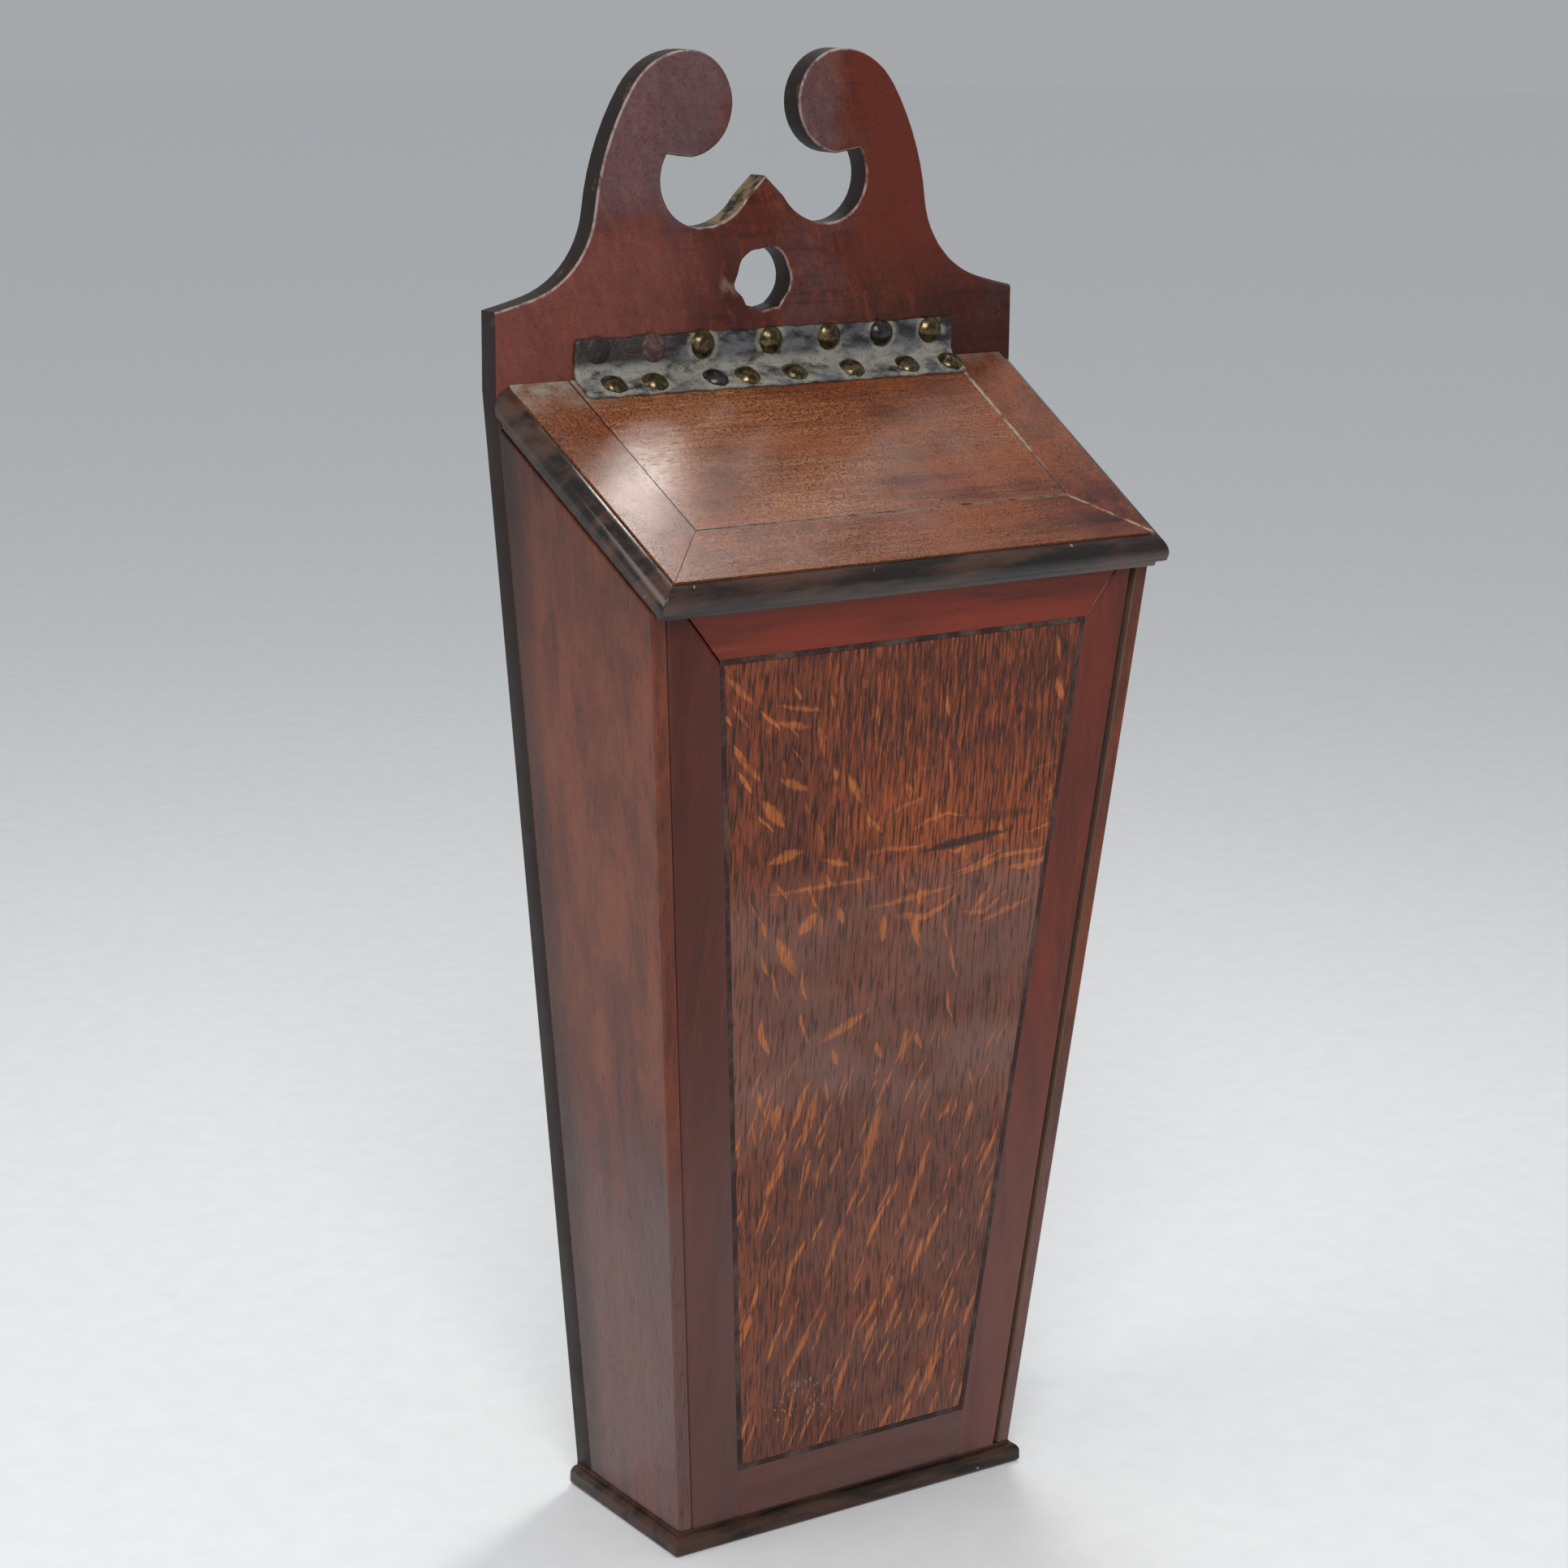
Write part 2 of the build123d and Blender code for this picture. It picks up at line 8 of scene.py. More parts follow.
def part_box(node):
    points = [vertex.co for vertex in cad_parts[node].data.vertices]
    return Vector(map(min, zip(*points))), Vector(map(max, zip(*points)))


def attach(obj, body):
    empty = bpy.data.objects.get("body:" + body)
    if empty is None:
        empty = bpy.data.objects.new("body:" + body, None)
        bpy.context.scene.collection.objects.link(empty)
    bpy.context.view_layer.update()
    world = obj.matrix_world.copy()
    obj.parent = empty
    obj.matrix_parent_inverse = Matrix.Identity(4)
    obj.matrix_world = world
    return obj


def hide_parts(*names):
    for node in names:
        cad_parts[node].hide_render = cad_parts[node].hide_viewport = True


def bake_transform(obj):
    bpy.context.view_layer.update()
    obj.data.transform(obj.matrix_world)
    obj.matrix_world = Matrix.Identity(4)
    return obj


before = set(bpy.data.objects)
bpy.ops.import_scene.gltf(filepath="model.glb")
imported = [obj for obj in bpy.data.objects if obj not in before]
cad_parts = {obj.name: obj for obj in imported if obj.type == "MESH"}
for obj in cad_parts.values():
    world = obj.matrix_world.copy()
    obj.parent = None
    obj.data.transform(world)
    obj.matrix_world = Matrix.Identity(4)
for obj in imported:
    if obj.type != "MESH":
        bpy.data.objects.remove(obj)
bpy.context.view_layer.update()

# Backboard: one plank of old red mahogany, sawn to a scroll crest and polished
# in front. Handling has rubbed its front arris round. Its sawn edges are painted
# near black as painted shade. Behind, and inside the box, it is dry wood off
# the saw.
MILLIMETRES = 1000.0
BACK_FRONT = -0.0095
ARRIS_ABOVE = 0.400
ARRIS_WIDE = 0.0009
ARRIS_NARROW = 0.0003
ARRIS_SUNK = 0.00006
ARRIS_DENT = 0.00012
DENTS_IN_A_METRE = 210
BEHIND_THE_FACE = 0.00005
CLOSE = 0.0001
JOINED = 0.00001
FLAT_WITHIN = math.radians(0.6)
SHARP_FROM = math.radians(35)
CORNER_FROM = math.radians(40)
HOLE_HEIGHT = 0.4245
HOLE_RADIUS = 0.0105
HOLE_RIPPLE = 0.0003
REAR_CHIP_SHARE = 0.3
HOLE_CHIPS = ((192, 14, 0.0016), (232, 10, 0.0009), (262, 8, 0.0005), (300, 7, 0.0010),
              (100, 14, -0.0009), (18, 20, -0.0008), (150, 12, 0.0004))
MAHOGANY_DEEP = (0.016, 0.0045, 0.0035, 1)
MAHOGANY_RED = (0.105, 0.019, 0.0095, 1)
MAHOGANY_WARM = (0.240, 0.050, 0.018, 1)
MAHOGANY_PLUM = (0.090, 0.036, 0.036, 1)
DRY_WOOD = (0.170, 0.088, 0.050, 1)
DRY_GREY = (0.085, 0.060, 0.047, 1)
SAW_PITCH = 3.4
SAW_LEAN = 0.07
SAW_WANDER = 5
GRIME = (0.008, 0.006, 0.005, 1)
OCHRE_DUST = (0.200, 0.130, 0.060, 1)
WORN_ARRIS = (0.300, 0.215, 0.190, 1)
BROKEN_WOOD = (0.210, 0.120, 0.085, 1)
NECK_RED = (0.115, 0.019, 0.009, 1)
CORNER_ROSE = (0.200, 0.062, 0.050, 1)
PAINTED_LILAC_SHEEN = (0.135, 0.086, 0.096, 1)
# Zones of the crest in millimetres, each with the two places that it fades between
SHEEN_LEFT, SHEEN_HIGH = (-40, -6), (430, 462)
LOBE_LEFT, LOBE_HIGH = (-18, 4), (462, 476)
EYE_MIDDLE = 30
EYE_LEFT, EYE_RIGHT, EYE_HIGH = (-6, 10), (4, 10), (458, 470)
WARM_RIGHT, WARM_HIGH = (26, 50), (412, 436)
ROSE_LEFT, ROSE_LOW = (-52, -8), (430, 452)
DARK_RIGHT, DARK_LOW = (40, 80), (405, 440)
BREAK_LEFT, BREAK_UP = 14.5, 422
SLOPE_LEFT, SLOPE_UP = 9, 447
WORN_FROM = (395, 410)
DUSTY_FROM = (400, 410)
INSIDE_BELOW = (378, 384)
INSIDE_FACE = (-9.4, -9.0)


class Tone:
    """A value, colour or place that varies over a surface.

    Plain arithmetic on values adds Math nodes, so a finish reads as sums.
    """

    def __init__(self, socket):
        self.socket = socket

    def node(self, kind, settings=None, sockets=None, out=0):
        """Any other node: its settings first, then its sockets' values or links."""
        tree = self.socket.id_data
        made = tree.nodes.new(kind)
        for name, value in (settings or {}).items():
            setattr(made, name, value)
        for name, value in (sockets or {}).items():
            if isinstance(value, Tone):
                tree.links.new(value.socket, made.inputs[name])
            else:
                made.inputs[name].default_value = value
        return Tone(made.outputs[out])

    def sum(self, operation, first, second):
        """One Math node on two values."""
        return self.node("ShaderNodeMath", {"operation": operation}, {0: first, 1: second})

    def __add__(self, other):
        return self.sum("ADD", self, other)

    def __radd__(self, other):
        return self.sum("ADD", other, self)

    def __sub__(self, other):
        return self.sum("SUBTRACT", self, other)

    def __rsub__(self, other):
        return self.sum("SUBTRACT", other, self)

    def __mul__(self, other):
        return self.sum("MULTIPLY", self, other)

    def __rmul__(self, other):
        return self.sum("MULTIPLY", other, self)

    def __truediv__(self, other):
        return self.sum("DIVIDE", self, other)

    def __neg__(self):
        return self.sum("MULTIPLY", self, -1.0)

    def __abs__(self):
        return self.sum("ABSOLUTE", self, 0.0)

    def wave(self, pitch):
        """A smooth wave between 0 and 1 that comes back every pitch."""
        turn = self * (2 * math.pi / pitch)
        return turn.sum("SINE", turn, 0.0) * 0.5 + 0.5

    def above(self, low, high):
        """0 below low and 1 over high, with a soft step between."""
        return self.node(
            "ShaderNodeMapRange", {"interpolation_type": "SMOOTHSTEP"},
            {"Value": self, "From Min": low, "From Max": high})

    def below(self, low, high):
        """1 below low and 0 over high."""
        return 1 - self.above(low, high)

    def between(self, first, second):
        """The first colour where this mask is 0 and the second where it is 1."""
        return self.node(
            "ShaderNodeMix", {"data_type": "RGBA"},
            {0: self, 6: first, 7: second}, out=2)

    def tint(self, colour, mask):
        """Another colour laid on this one where the mask is 1."""
        return mask.between(self, colour)

    def stretched(self, x, y, z):
        """A place measured in steps of so many millimetres along each axis."""
        return self.node(
            "ShaderNodeVectorMath", {"operation": "MULTIPLY"},
            {0: self, 1: (1 / x, 1 / y, 1 / z)})

    def cloud(self, detail=2.0, roughness=0.5, distortion=0.0):
        """Soft noise, about 0.5 in the middle, one lump to a step."""
        return self.node(
            "ShaderNodeTexNoise", None,
            {"Vector": self, "Scale": 1.0, "Detail": detail,
             "Roughness": roughness, "Distortion": distortion})

    def axis(self, index):
        """One coordinate of a place."""
        return self.node("ShaderNodeSeparateXYZ", None, {0: self}, out=index)


class Finish:
    """One material under way: its shader and a place in millimetres."""

    def __init__(self, name, turn=(0, 0, 0), shift=(0, 0, 0)):
        self.material = bpy.data.materials.new(name)
        self.material.use_nodes = True
        self.tree = self.material.node_tree
        self.shader = self.tree.nodes["Principled BSDF"]
        coordinates = self.tree.nodes.new("ShaderNodeTexCoord")
        metres = Tone(coordinates.outputs["Object"])
        self.world = metres.node(
            "ShaderNodeVectorMath", {"operation": "SCALE"}, {0: metres, "Scale": MILLIMETRES})
        angles = [math.radians(angle) for angle in turn]
        self.place = self.world.node(
            "ShaderNodeMapping", {"vector_type": "POINT"},
            {"Vector": self.world, "Rotation": angles, "Location": shift})
        self.normal = Tone(coordinates.outputs["Normal"])

    def set(self, **sockets):
        """Numbers, colours or tones for the shader's own sockets."""
        for name, value in sockets.items():
            socket = self.shader.inputs[name.replace("_", " ")]
            if isinstance(value, Tone):
                self.tree.links.new(value.socket, socket)
            else:
                socket.default_value = value

    def relief(self, height, depth):
        """Bump from a height between 0 and 1 and its real depth in millimetres."""
        bump = height.node(
            "ShaderNodeBump", None,
            {"Height": height, "Strength": 1.0, "Distance": depth / MILLIMETRES})
        self.tree.links.new(bump.socket, self.shader.inputs["Normal"])


def mahogany(name, turn=(0, 0, 0), shift=(0, 0, 0), red=1.0, dark=0.0, plum=0.3, gloss=0.26,
             figure=1.0):
    """Waxed mahogany with its grain along Z before the turn.

    Red, dark and plum say how far the wood shows red, has gone black with
    handling, and has a greyish purple bloom. Figure is how bold its stripes are.
    """
    finish = Finish(name, turn, shift)
    place = finish.place
    stripe = place.stretched(9, 9, 240).cloud(3, 0.55, 0.4)
    ribbon = place.stretched(2.3, 2.3, 60).cloud(3, 0.6)
    fibre = place.stretched(0.45, 0.45, 13).cloud(2, 0.6)
    pore = place.stretched(0.34, 0.34, 3.2).cloud(1, 0.4).above(0.63, 0.72)
    mottle = place.stretched(30, 30, 55).cloud(3, 0.55)
    patina = finish.world.stretched(55, 55, 70).cloud(4, 0.6)
    bloom = finish.world.stretched(40, 40, 48).cloud(4, 0.65, 0.3)

    tone = stripe * 0.45 + ribbon * 0.33 + fibre * 0.22
    tone = (tone - 0.5) * figure + 0.5
    colour = (tone.above(0.36, 0.58) * red).between(MAHOGANY_DEEP, MAHOGANY_RED)
    warm = tone.above(0.44, 0.66) * mottle.above(0.42, 0.62)
    colour = colour.tint(MAHOGANY_WARM, warm * (0.75 * red))
    colour = colour.tint(MAHOGANY_PLUM, bloom.above(0.48, 0.66) * plum)
    colour = colour.tint(MAHOGANY_DEEP, patina.above(0.46, 0.68) * (0.30 + dark))
    colour = colour.tint(GRIME, pore * 0.7)
    finish.tone = colour
    finish.grain_height = fibre * 0.5 + ribbon * 0.2 + (1 - pore) * 0.6
    finish.roughness = gloss + bloom.above(0.35, 0.7) * 0.14 + pore * 0.2
    return finish


def left_dry(finish, mask):
    """Leaves the faces under the mask as dry, unpolished wood off the saw."""
    stain = finish.world.stretched(26, 26, 60).cloud(4, 0.6)
    fibre = finish.place.stretched(0.6, 0.6, 22).cloud(3, 0.65)
    streak = finish.place.stretched(5, 5, 160).cloud(3, 0.6)
    wander = finish.world.stretched(30, 30, 9).cloud(2, 0.5)
    saw = finish.world.axis(2) + finish.world.axis(0) * SAW_LEAN + wander * SAW_WANDER
    saw = saw.wave(SAW_PITCH) * stain.above(0.40, 0.60)
    dry = stain.above(0.36, 0.66) * 0.45 + fibre * 0.25 + streak * 0.45 + saw * 0.12 - 0.15
    finish.tone = finish.tone.tint(dry.between(DRY_WOOD, DRY_GREY), mask)
    finish.tone = finish.tone.tint(GRIME, fibre.below(0.30, 0.42) * mask * 0.5)
    finish.roughness = finish.roughness + mask * 0.45
    finish.grain_height = finish.grain_height * (1 - mask * 0.8) + mask * (fibre * 0.5 + saw * 0.7)


def sealed(finish, depth=0.04, specular=0.30):
    """Closes a wood finish: colour, gloss and the open grain's relief."""
    finish.set(Base_Color=finish.tone, Roughness=finish.roughness, Specular_IOR_Level=specular)
    finish.relief(finish.grain_height, depth)
    return finish.material


def dress(node, material, arris=0.0):
    """Puts a finish on a piece of the frame and rounds its arrises a little."""
    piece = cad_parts[node]
    for slot in piece.material_slots:
        slot.material = material
    if arris:
        weld = piece.modifiers.new("joined", "WELD")
        weld.merge_threshold = JOINED
        planar = piece.modifiers.new("flat faces", "DECIMATE")
        planar.decimate_type = "DISSOLVE"
        planar.angle_limit = FLAT_WITHIN
        rounded = piece.modifiers.new("worn arris", "BEVEL")
        rounded.width = arris
        rounded.segments = 3
        rounded.limit_method = "ANGLE"
        rounded.angle_limit = CORNER_FROM
        rounded.use_clamp_overlap = False


def put_in_scene(name, data):
    """A new object that shows a mesh, a lamp or a camera."""
    item = bpy.data.objects.new(name, data)
    bpy.context.scene.collection.objects.link(item)
    return item


def chipped(angle):
    """How far the hole's edge has broken away at an angle from the right, in metres."""
    away = 0.0
    for place, spread, deep in HOLE_CHIPS:
        off = (math.degrees(angle) - place + 180) % 360 - 180
        away += deep * math.exp(-(off / spread) ** 2)
    spot = Vector((math.cos(angle) * 3, math.sin(angle) * 3, 4.4))
    return away + HOLE_RIPPLE * noise.noise(spot)


def worn_backboard():
    """The backboard as it is now: its hole chipped, its crest's arrises rubbed round."""
    board = bmesh.new()
    board.from_mesh(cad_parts["backboard"].data)
    bmesh.ops.remove_doubles(board, verts=board.verts[:], dist=JOINED)
    bmesh.ops.dissolve_limit(board, angle_limit=FLAT_WITHIN,
                             verts=board.verts[:], edges=board.edges[:])
    for vert in board.verts:
        radius = math.hypot(vert.co.x, vert.co.z - HOLE_HEIGHT)
        if abs(radius - HOLE_RADIUS) < CLOSE:
            angle = math.atan2(vert.co.z - HOLE_HEIGHT, vert.co.x)
            share = 1.0 if vert.co.y < BACK_FRONT / 2 else REAR_CHIP_SHARE
            grown = 1 + chipped(angle) * share / HOLE_RADIUS
            vert.co.x *= grown
            vert.co.z = HOLE_HEIGHT + (vert.co.z - HOLE_HEIGHT) * grown
    corners = [edge for edge in board.edges
               if len(edge.link_faces) == 2 and edge.calc_face_angle() > CORNER_FROM]
    rubbed = [edge for edge in corners
              if all(vert.co.y < BACK_FRONT + CLOSE and vert.co.z > ARRIS_ABOVE
                     for vert in edge.verts)]
    others = [edge for edge in corners if edge not in set(rubbed)]
    bmesh.ops.bevel(board, geom=rubbed, offset=ARRIS_WIDE, segments=4, profile=0.5,
                    affect="EDGES", clamp_overlap=False)
    others = [edge for edge in others if edge.is_valid]
    bmesh.ops.bevel(board, geom=others, offset=ARRIS_NARROW, segments=2, profile=0.5,
                    affect="EDGES", clamp_overlap=False)
    arris_front = BACK_FRONT + BEHIND_THE_FACE
    arris_rear = BACK_FRONT + ARRIS_WIDE
    for vert in board.verts:
        if arris_front < vert.co.y < arris_rear and vert.co.z > ARRIS_ABOVE:
            dent = ARRIS_DENT * noise.noise(vert.co * DENTS_IN_A_METRE)
            vert.co += vert.normal * (dent - ARRIS_SUNK)
    for face in board.faces:
        face.smooth = True
    for edge in board.edges:
        if len(edge.link_faces) == 2 and edge.calc_face_angle() > SHARP_FROM:
            edge.smooth = False
    mesh = bpy.data.meshes.new("worn_backboard")
    board.to_mesh(mesh)
    board.free()
    mesh.materials.clear()
    return mesh


crest = mahogany("polished_back", turn=(0, 24, 0), shift=(13, 4, 0), plum=0.8, gloss=0.25,
                 figure=0.35)
facing = -crest.normal.axis(1)
across = crest.world.axis(0)
height = crest.world.axis(2)
sawn = abs(facing).below(0.24, 0.60)
arris = facing.above(0.20, 0.55) * facing.below(0.90, 0.985) * height.above(*WORN_FROM)
arris = arris * crest.normal.axis(0).below(-0.10, 0.20)
drift = (crest.world.stretched(26, 26, 26).cloud(3, 0.6) - 0.5) * 34
rubbed = crest.place.stretched(3.2, 3.2, 7).cloud(4, 0.7)
grit = crest.world.stretched(0.9, 0.9, 0.9).cloud(3, 0.7)
level_grain = crest.world.stretched(34, 34, 2.6).cloud(4, 0.65)
dusty = crest.world.stretched(7, 7, 10).cloud(4, 0.7)
# Painted sheen: a greyish lilac highlight laid over the left neck, the left lobe and round the
# right eye, broken up by rubbing and grit.
sheen = (across + drift).below(*SHEEN_LEFT) * (height + drift).above(*SHEEN_HIGH)
lobe = (across + drift).below(*LOBE_LEFT) * height.above(*LOBE_HIGH) * 0.45
right_eye = (across + drift * 0.6 - EYE_MIDDLE).below(*EYE_LEFT)
right_eye = right_eye * across.above(*EYE_RIGHT) * height.above(*EYE_HIGH)
warm_right = (across + drift).above(*WARM_RIGHT) * height.above(*WARM_HIGH)
lower_left = (across + drift).below(*ROSE_LEFT) * (height + drift).below(*ROSE_LOW)
low_right = (across + drift).above(*DARK_RIGHT) * height.below(*DARK_LOW)
tone = crest.tone.tint(MAHOGANY_DEEP, level_grain.above(0.50, 0.66) * 0.45)
tone = tone.tint(MAHOGANY_WARM, rubbed.above(0.50, 0.70) * 0.35)
tone = tone.tint(NECK_RED, warm_right * (0.55 + rubbed * 0.6).above(0.0, 1.0))
tone = tone.tint(CORNER_ROSE, lower_left * (0.25 + rubbed * 0.7))
lilac_sheen = (sheen + lobe + right_eye * 0.7).above(0, 1)
tone = tone.tint(PAINTED_LILAC_SHEEN, lilac_sheen * (rubbed * 0.7 + grit * 0.6 - 0.12))
tone = tone.tint(MAHOGANY_DEEP, low_right * 0.55 + grit.below(0.34, 0.46) * 0.35)
broken = abs(across + BREAK_LEFT).below(1.5, 5.5) * abs(height - BREAK_UP).below(1.0, 4.5)
tone = tone.tint(BROKEN_WOOD, broken * rubbed.above(0.35, 0.55) * 0.8)
# Painted shade: the sawn edges are painted nearly black.
tone = tone.tint(GRIME, sawn * 0.95)
slope = sawn * abs(across + SLOPE_LEFT).below(7, 12) * abs(height - SLOPE_UP).below(9, 13)
ochre = dusty.above(0.57, 0.70) * height.above(*DUSTY_FROM) * 0.25
ochre = ochre + slope * dusty.above(0.40, 0.52) * 0.7
tone = tone.tint(OCHRE_DUST, sawn * ochre)
tone = tone.tint(WORN_ARRIS, arris * rubbed.above(0.34, 0.58) * 0.85)
crest.tone = tone
crest.roughness = crest.roughness + sawn * 0.25 + lilac_sheen * 0.12
crest.grain_height = crest.grain_height * 0.5 + rubbed * 0.6 + grit * 0.3
inside = abs(facing).above(0.8, 0.9) * height.below(*INSIDE_BELOW)
inside = inside * crest.world.axis(1).below(*INSIDE_FACE)
left_dry(crest, (facing.below(-0.8, -0.6) + inside).above(0, 1))
back_mesh = worn_backboard()
back_mesh.materials.append(sealed(crest, depth=0.08, specular=0.26))
back = put_in_scene("worn_backboard", back_mesh)
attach(back, "case")
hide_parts("backboard")

# Side boards: two tapering mahogany boards, straight grained and polished,
# nailed through the backboard from behind and rebated in front for the oak.
SIDE_ARRIS = 0.0007
SIDE_RED = (0.180, 0.046, 0.019, 1)
PAINTED_SHEEN_GREY = (0.150, 0.088, 0.080, 1)
RED_ABOVE = (120, 190)
SHEEN_BELOW = (95, 185)
SHADED_ABOVE = (290, 370)
GRIMY_BEHIND = (-26, -12)
for side, shift in (("left", (0, 31, 7)), ("right", (5, -40, 60))):
    board = mahogany("polished_side_" + side, shift=shift, red=1.1, dark=-0.15, plum=0.3,
                     gloss=0.22, figure=0.75)
    level = board.world.axis(2) + (board.world.stretched(60, 60, 60).cloud(2, 0.5) - 0.5) * 90
    fibre = board.place.stretched(0.7, 0.7, 26).cloud(3, 0.65)
    cloudy = board.world.stretched(24, 24, 44).cloud(4, 0.65)
    behind = board.world.axis(1) + (cloudy - 0.5) * 20
    red = level.above(*RED_ABOVE) * (0.25 + cloudy.above(0.42, 0.62) * 0.55)
    # Grime darkens the board along its back edge, and painted shade darkens it towards the top,
    # under the lid.
    grime_and_shade = behind.above(*GRIMY_BEHIND) * 0.55 + level.above(*SHADED_ABOVE) * 0.35
    board.tone = board.tone.tint(SIDE_RED, red)
    # Painted reflection of the pale floor: the lower part of the board greyed.
    board.tone = board.tone.tint(PAINTED_SHEEN_GREY, level.below(*SHEEN_BELOW) * (0.35 + fibre * 0.45))
    board.tone = board.tone.tint(GRIME, fibre.below(0.32, 0.45) * 0.45)
    board.tone = board.tone.tint(GRIME, grime_and_shade)
    inward = board.normal.axis(0) * (1 if side == "left" else -1)
    left_dry(board, inward.above(0.4, 0.7))
    dress("side_" + side, sealed(board), SIDE_ARRIS)

# Front board: quarter-sawn oak, its pores dark and its rays orange. The fine
# rays lean with the cut, in a way of their own in each zone. The broad ones, a
# short split and the scratches near the foot stand where the real ones do.
OAK_DARK = (0.034, 0.010, 0.006, 1)
OAK_BROWN = (0.140, 0.031, 0.013, 1)
OAK_ORANGE = (0.330, 0.070, 0.015, 1)
RAY_ORANGE = (0.560, 0.165, 0.036, 1)
OAK_PAINTED_SHEEN = (0.170, 0.085, 0.066, 1)
SLIT_DARK = (0.030, 0.012, 0.009, 1)
SCRATCH_PALE = (0.420, 0.330, 0.220, 1)
OAK_ARRIS = 0.0003
RAGGED = 1.3
RING_PITCH = 2.9
# Zones of the board in millimetres, then how the fine rays of each are cut
LOWER_BELOW = (150, 195)
MIDDLE_ABOVE, MIDDLE_BELOW = (135, 165), (225, 245)
HIGH_LEFT_ABOVE, HIGH_LEFT_WITHIN = (215, 235), (-42, -30)
HIGH_RIGHT_ABOVE, HIGH_RIGHT_BEYOND = (180, 268), (-45, -25)
PATCH_ABOVE, PATCH_BELOW, PATCH_BEYOND = (205, 226), (246, 276), (-30, 16)
SCRATCH_LEFT, SCRATCH_UP = 22, 47
LOW_RAYS = (8.5, 28.0, 0.36, 0.004, 1.10, 0.72)
LOW_SHORT_RAYS = (6.0, 19.0, 0.42, 0.0, 0.75, 0.60)
MIDDLE_COMMAS = (15.0, 17.0, -0.30, 0.022, 1.3, 0.45)
LEFT_COMMAS = (10.0, 11.0, -0.85, 0.02, 1.2, 0.45)
RIGHT_COMMAS = (15.0, 12.0, -0.2, 0.01, 1.2, 0.4)
LEVEL_CURVES = (9.0, 52.0, 0.10, -0.004, 1.0, 0.65)
SHORT_CURVES = (14.0, 34.0, 0.22, 0.005, 1.5, 0.5)
SLIT = (10, 240.5, 49, 243.5, 4.6)
SLIT_SHADOW = (27, 250, 61, 248.5, 5.0)
BOLD_RAYS = (
    (-50, 298, -33, 294.5, 2.6), (-49, 292, -38, 289.5, 3.0), (-20.5, 271, -15, 261.5, 4.2),
    (-54, 266.5, -45, 257, 5.5), (-47, 273, -37, 268.5, 4.4), (-50, 234, -6, 234, 2.2),
    (-8, 223.5, 27, 226.5, 3.0), (-35.5, 219, -30, 224.5, 6.0), (-45, 218.5, -37, 204.5, 6.0),
    (8.5, 220, 13.5, 206.5, 5.0), (-50, 245, -37, 247.5, 5.0), (37, 211.5, 60, 217.5, 3.0),
    (33.5, 214.5, 42, 224.5, 3.0), (-69.5, 309, -60.5, 300.5, 3.4), (-64.5, 283, -55, 273.5, 3.4),
    (-11, 255, -5, 249.5, 2.6), (-28.5, 243, -18, 240, 3.0), (-24, 179, -7, 186.5, 5.0),
    (2, 153, -5, 124, 6.0), (24, 134, 15, 105, 3.4), (-25, 162, -29, 144.5, 4.4),
    (-17, 82, -33, 53, 2.8), (37, 61, 25.5, 31, 3.0), (-40.5, 159, -42, 152, 5.0),
    (-34, 290, -31, 279, 2.6), (11, 179, 9, 166, 4.0))


def rays(across, up, ragged, cut):
    """Thin pointed strokes, one to a cell of the board, bent and leaning alike.

    The cut says how far apart and how long they are, how they lean and bend,
    how wide they are, and the share of the cells that has one.
    """
    apart, length, lean, bend, width, keep = cut
    cell = across.node(
        "ShaderNodeCombineXYZ", None, {0: across / apart, 1: up / length, 2: 0.0})
    spots = cell.node(
        "ShaderNodeTexVoronoi", {"voronoi_dimensions": "2D"},
        {"Vector": cell, "Scale": 1.0, "Randomness": 1.0})
    outputs = spots.socket.node.outputs
    centre = Tone(outputs["Position"])
    lot = Tone(outputs["Color"])
    aside = across - centre.axis(0) * apart
    along = up - centre.axis(1) * length
    off = abs(aside - along * lean - along * along * bend + ragged * RAGGED)
    half = length * 0.46 * (0.35 + lot.axis(1) * 0.65)
    taper = 1 - (along * along) / (half * half)
    edge = taper * width * (0.4 + lot.axis(2) * 0.8) - off
    return edge.above(-0.30, 0.45) * lot.axis(0).above(1 - keep, 1 - keep + 0.02)


def bold_ray(across, up, ragged, ends):
    """One broad pointed ray: its ends are two places and a width, in millimetres."""
    low_x, low_up, high_x, high_up, wide = ends
    half = math.hypot(high_x - low_x, high_up - low_up) / 2
    lean_x, lean_up = (high_x - low_x) / half / 2, (high_up - low_up) / half / 2
    aside = across - (low_x + high_x) / 2
    above = up - (low_up + high_up) / 2
    along = (aside * lean_x + above * lean_up) / (half + 1.0)
    off = abs(aside * lean_up - above * lean_x + ragged * (RAGGED * 1.9))
    body = (1 - along * along + ragged * 0.9) * (wide * 0.40) - off
    return body.above(-0.70, 1.10) * 0.85


oak = Finish("quarter_sawn_oak")
across = oak.place.axis(0)
up = oak.place.axis(2)
ripple = oak.world.stretched(2.4, 2.4, 4.2).cloud(3, 0.7) - 0.5
sway = oak.world.stretched(22, 22, 30).cloud(2, 0.5) - 0.5
flow = across + sway * 9
lower = up.below(*LOWER_BELOW)
middle = up.above(*MIDDLE_ABOVE) * up.below(*MIDDLE_BELOW)
high_left = up.above(*HIGH_LEFT_ABOVE) * across.below(*HIGH_LEFT_WITHIN)
high_right = up.above(*HIGH_RIGHT_ABOVE) * across.above(*HIGH_RIGHT_BEYOND)
wavy = up + sway * 40 + ripple * 8
patch = wavy.above(*PATCH_ABOVE) * wavy.below(*PATCH_BELOW)
patch = patch * (across + sway * 30).above(*PATCH_BEYOND)
strokes = rays(flow, up, ripple, LOW_RAYS) * lower
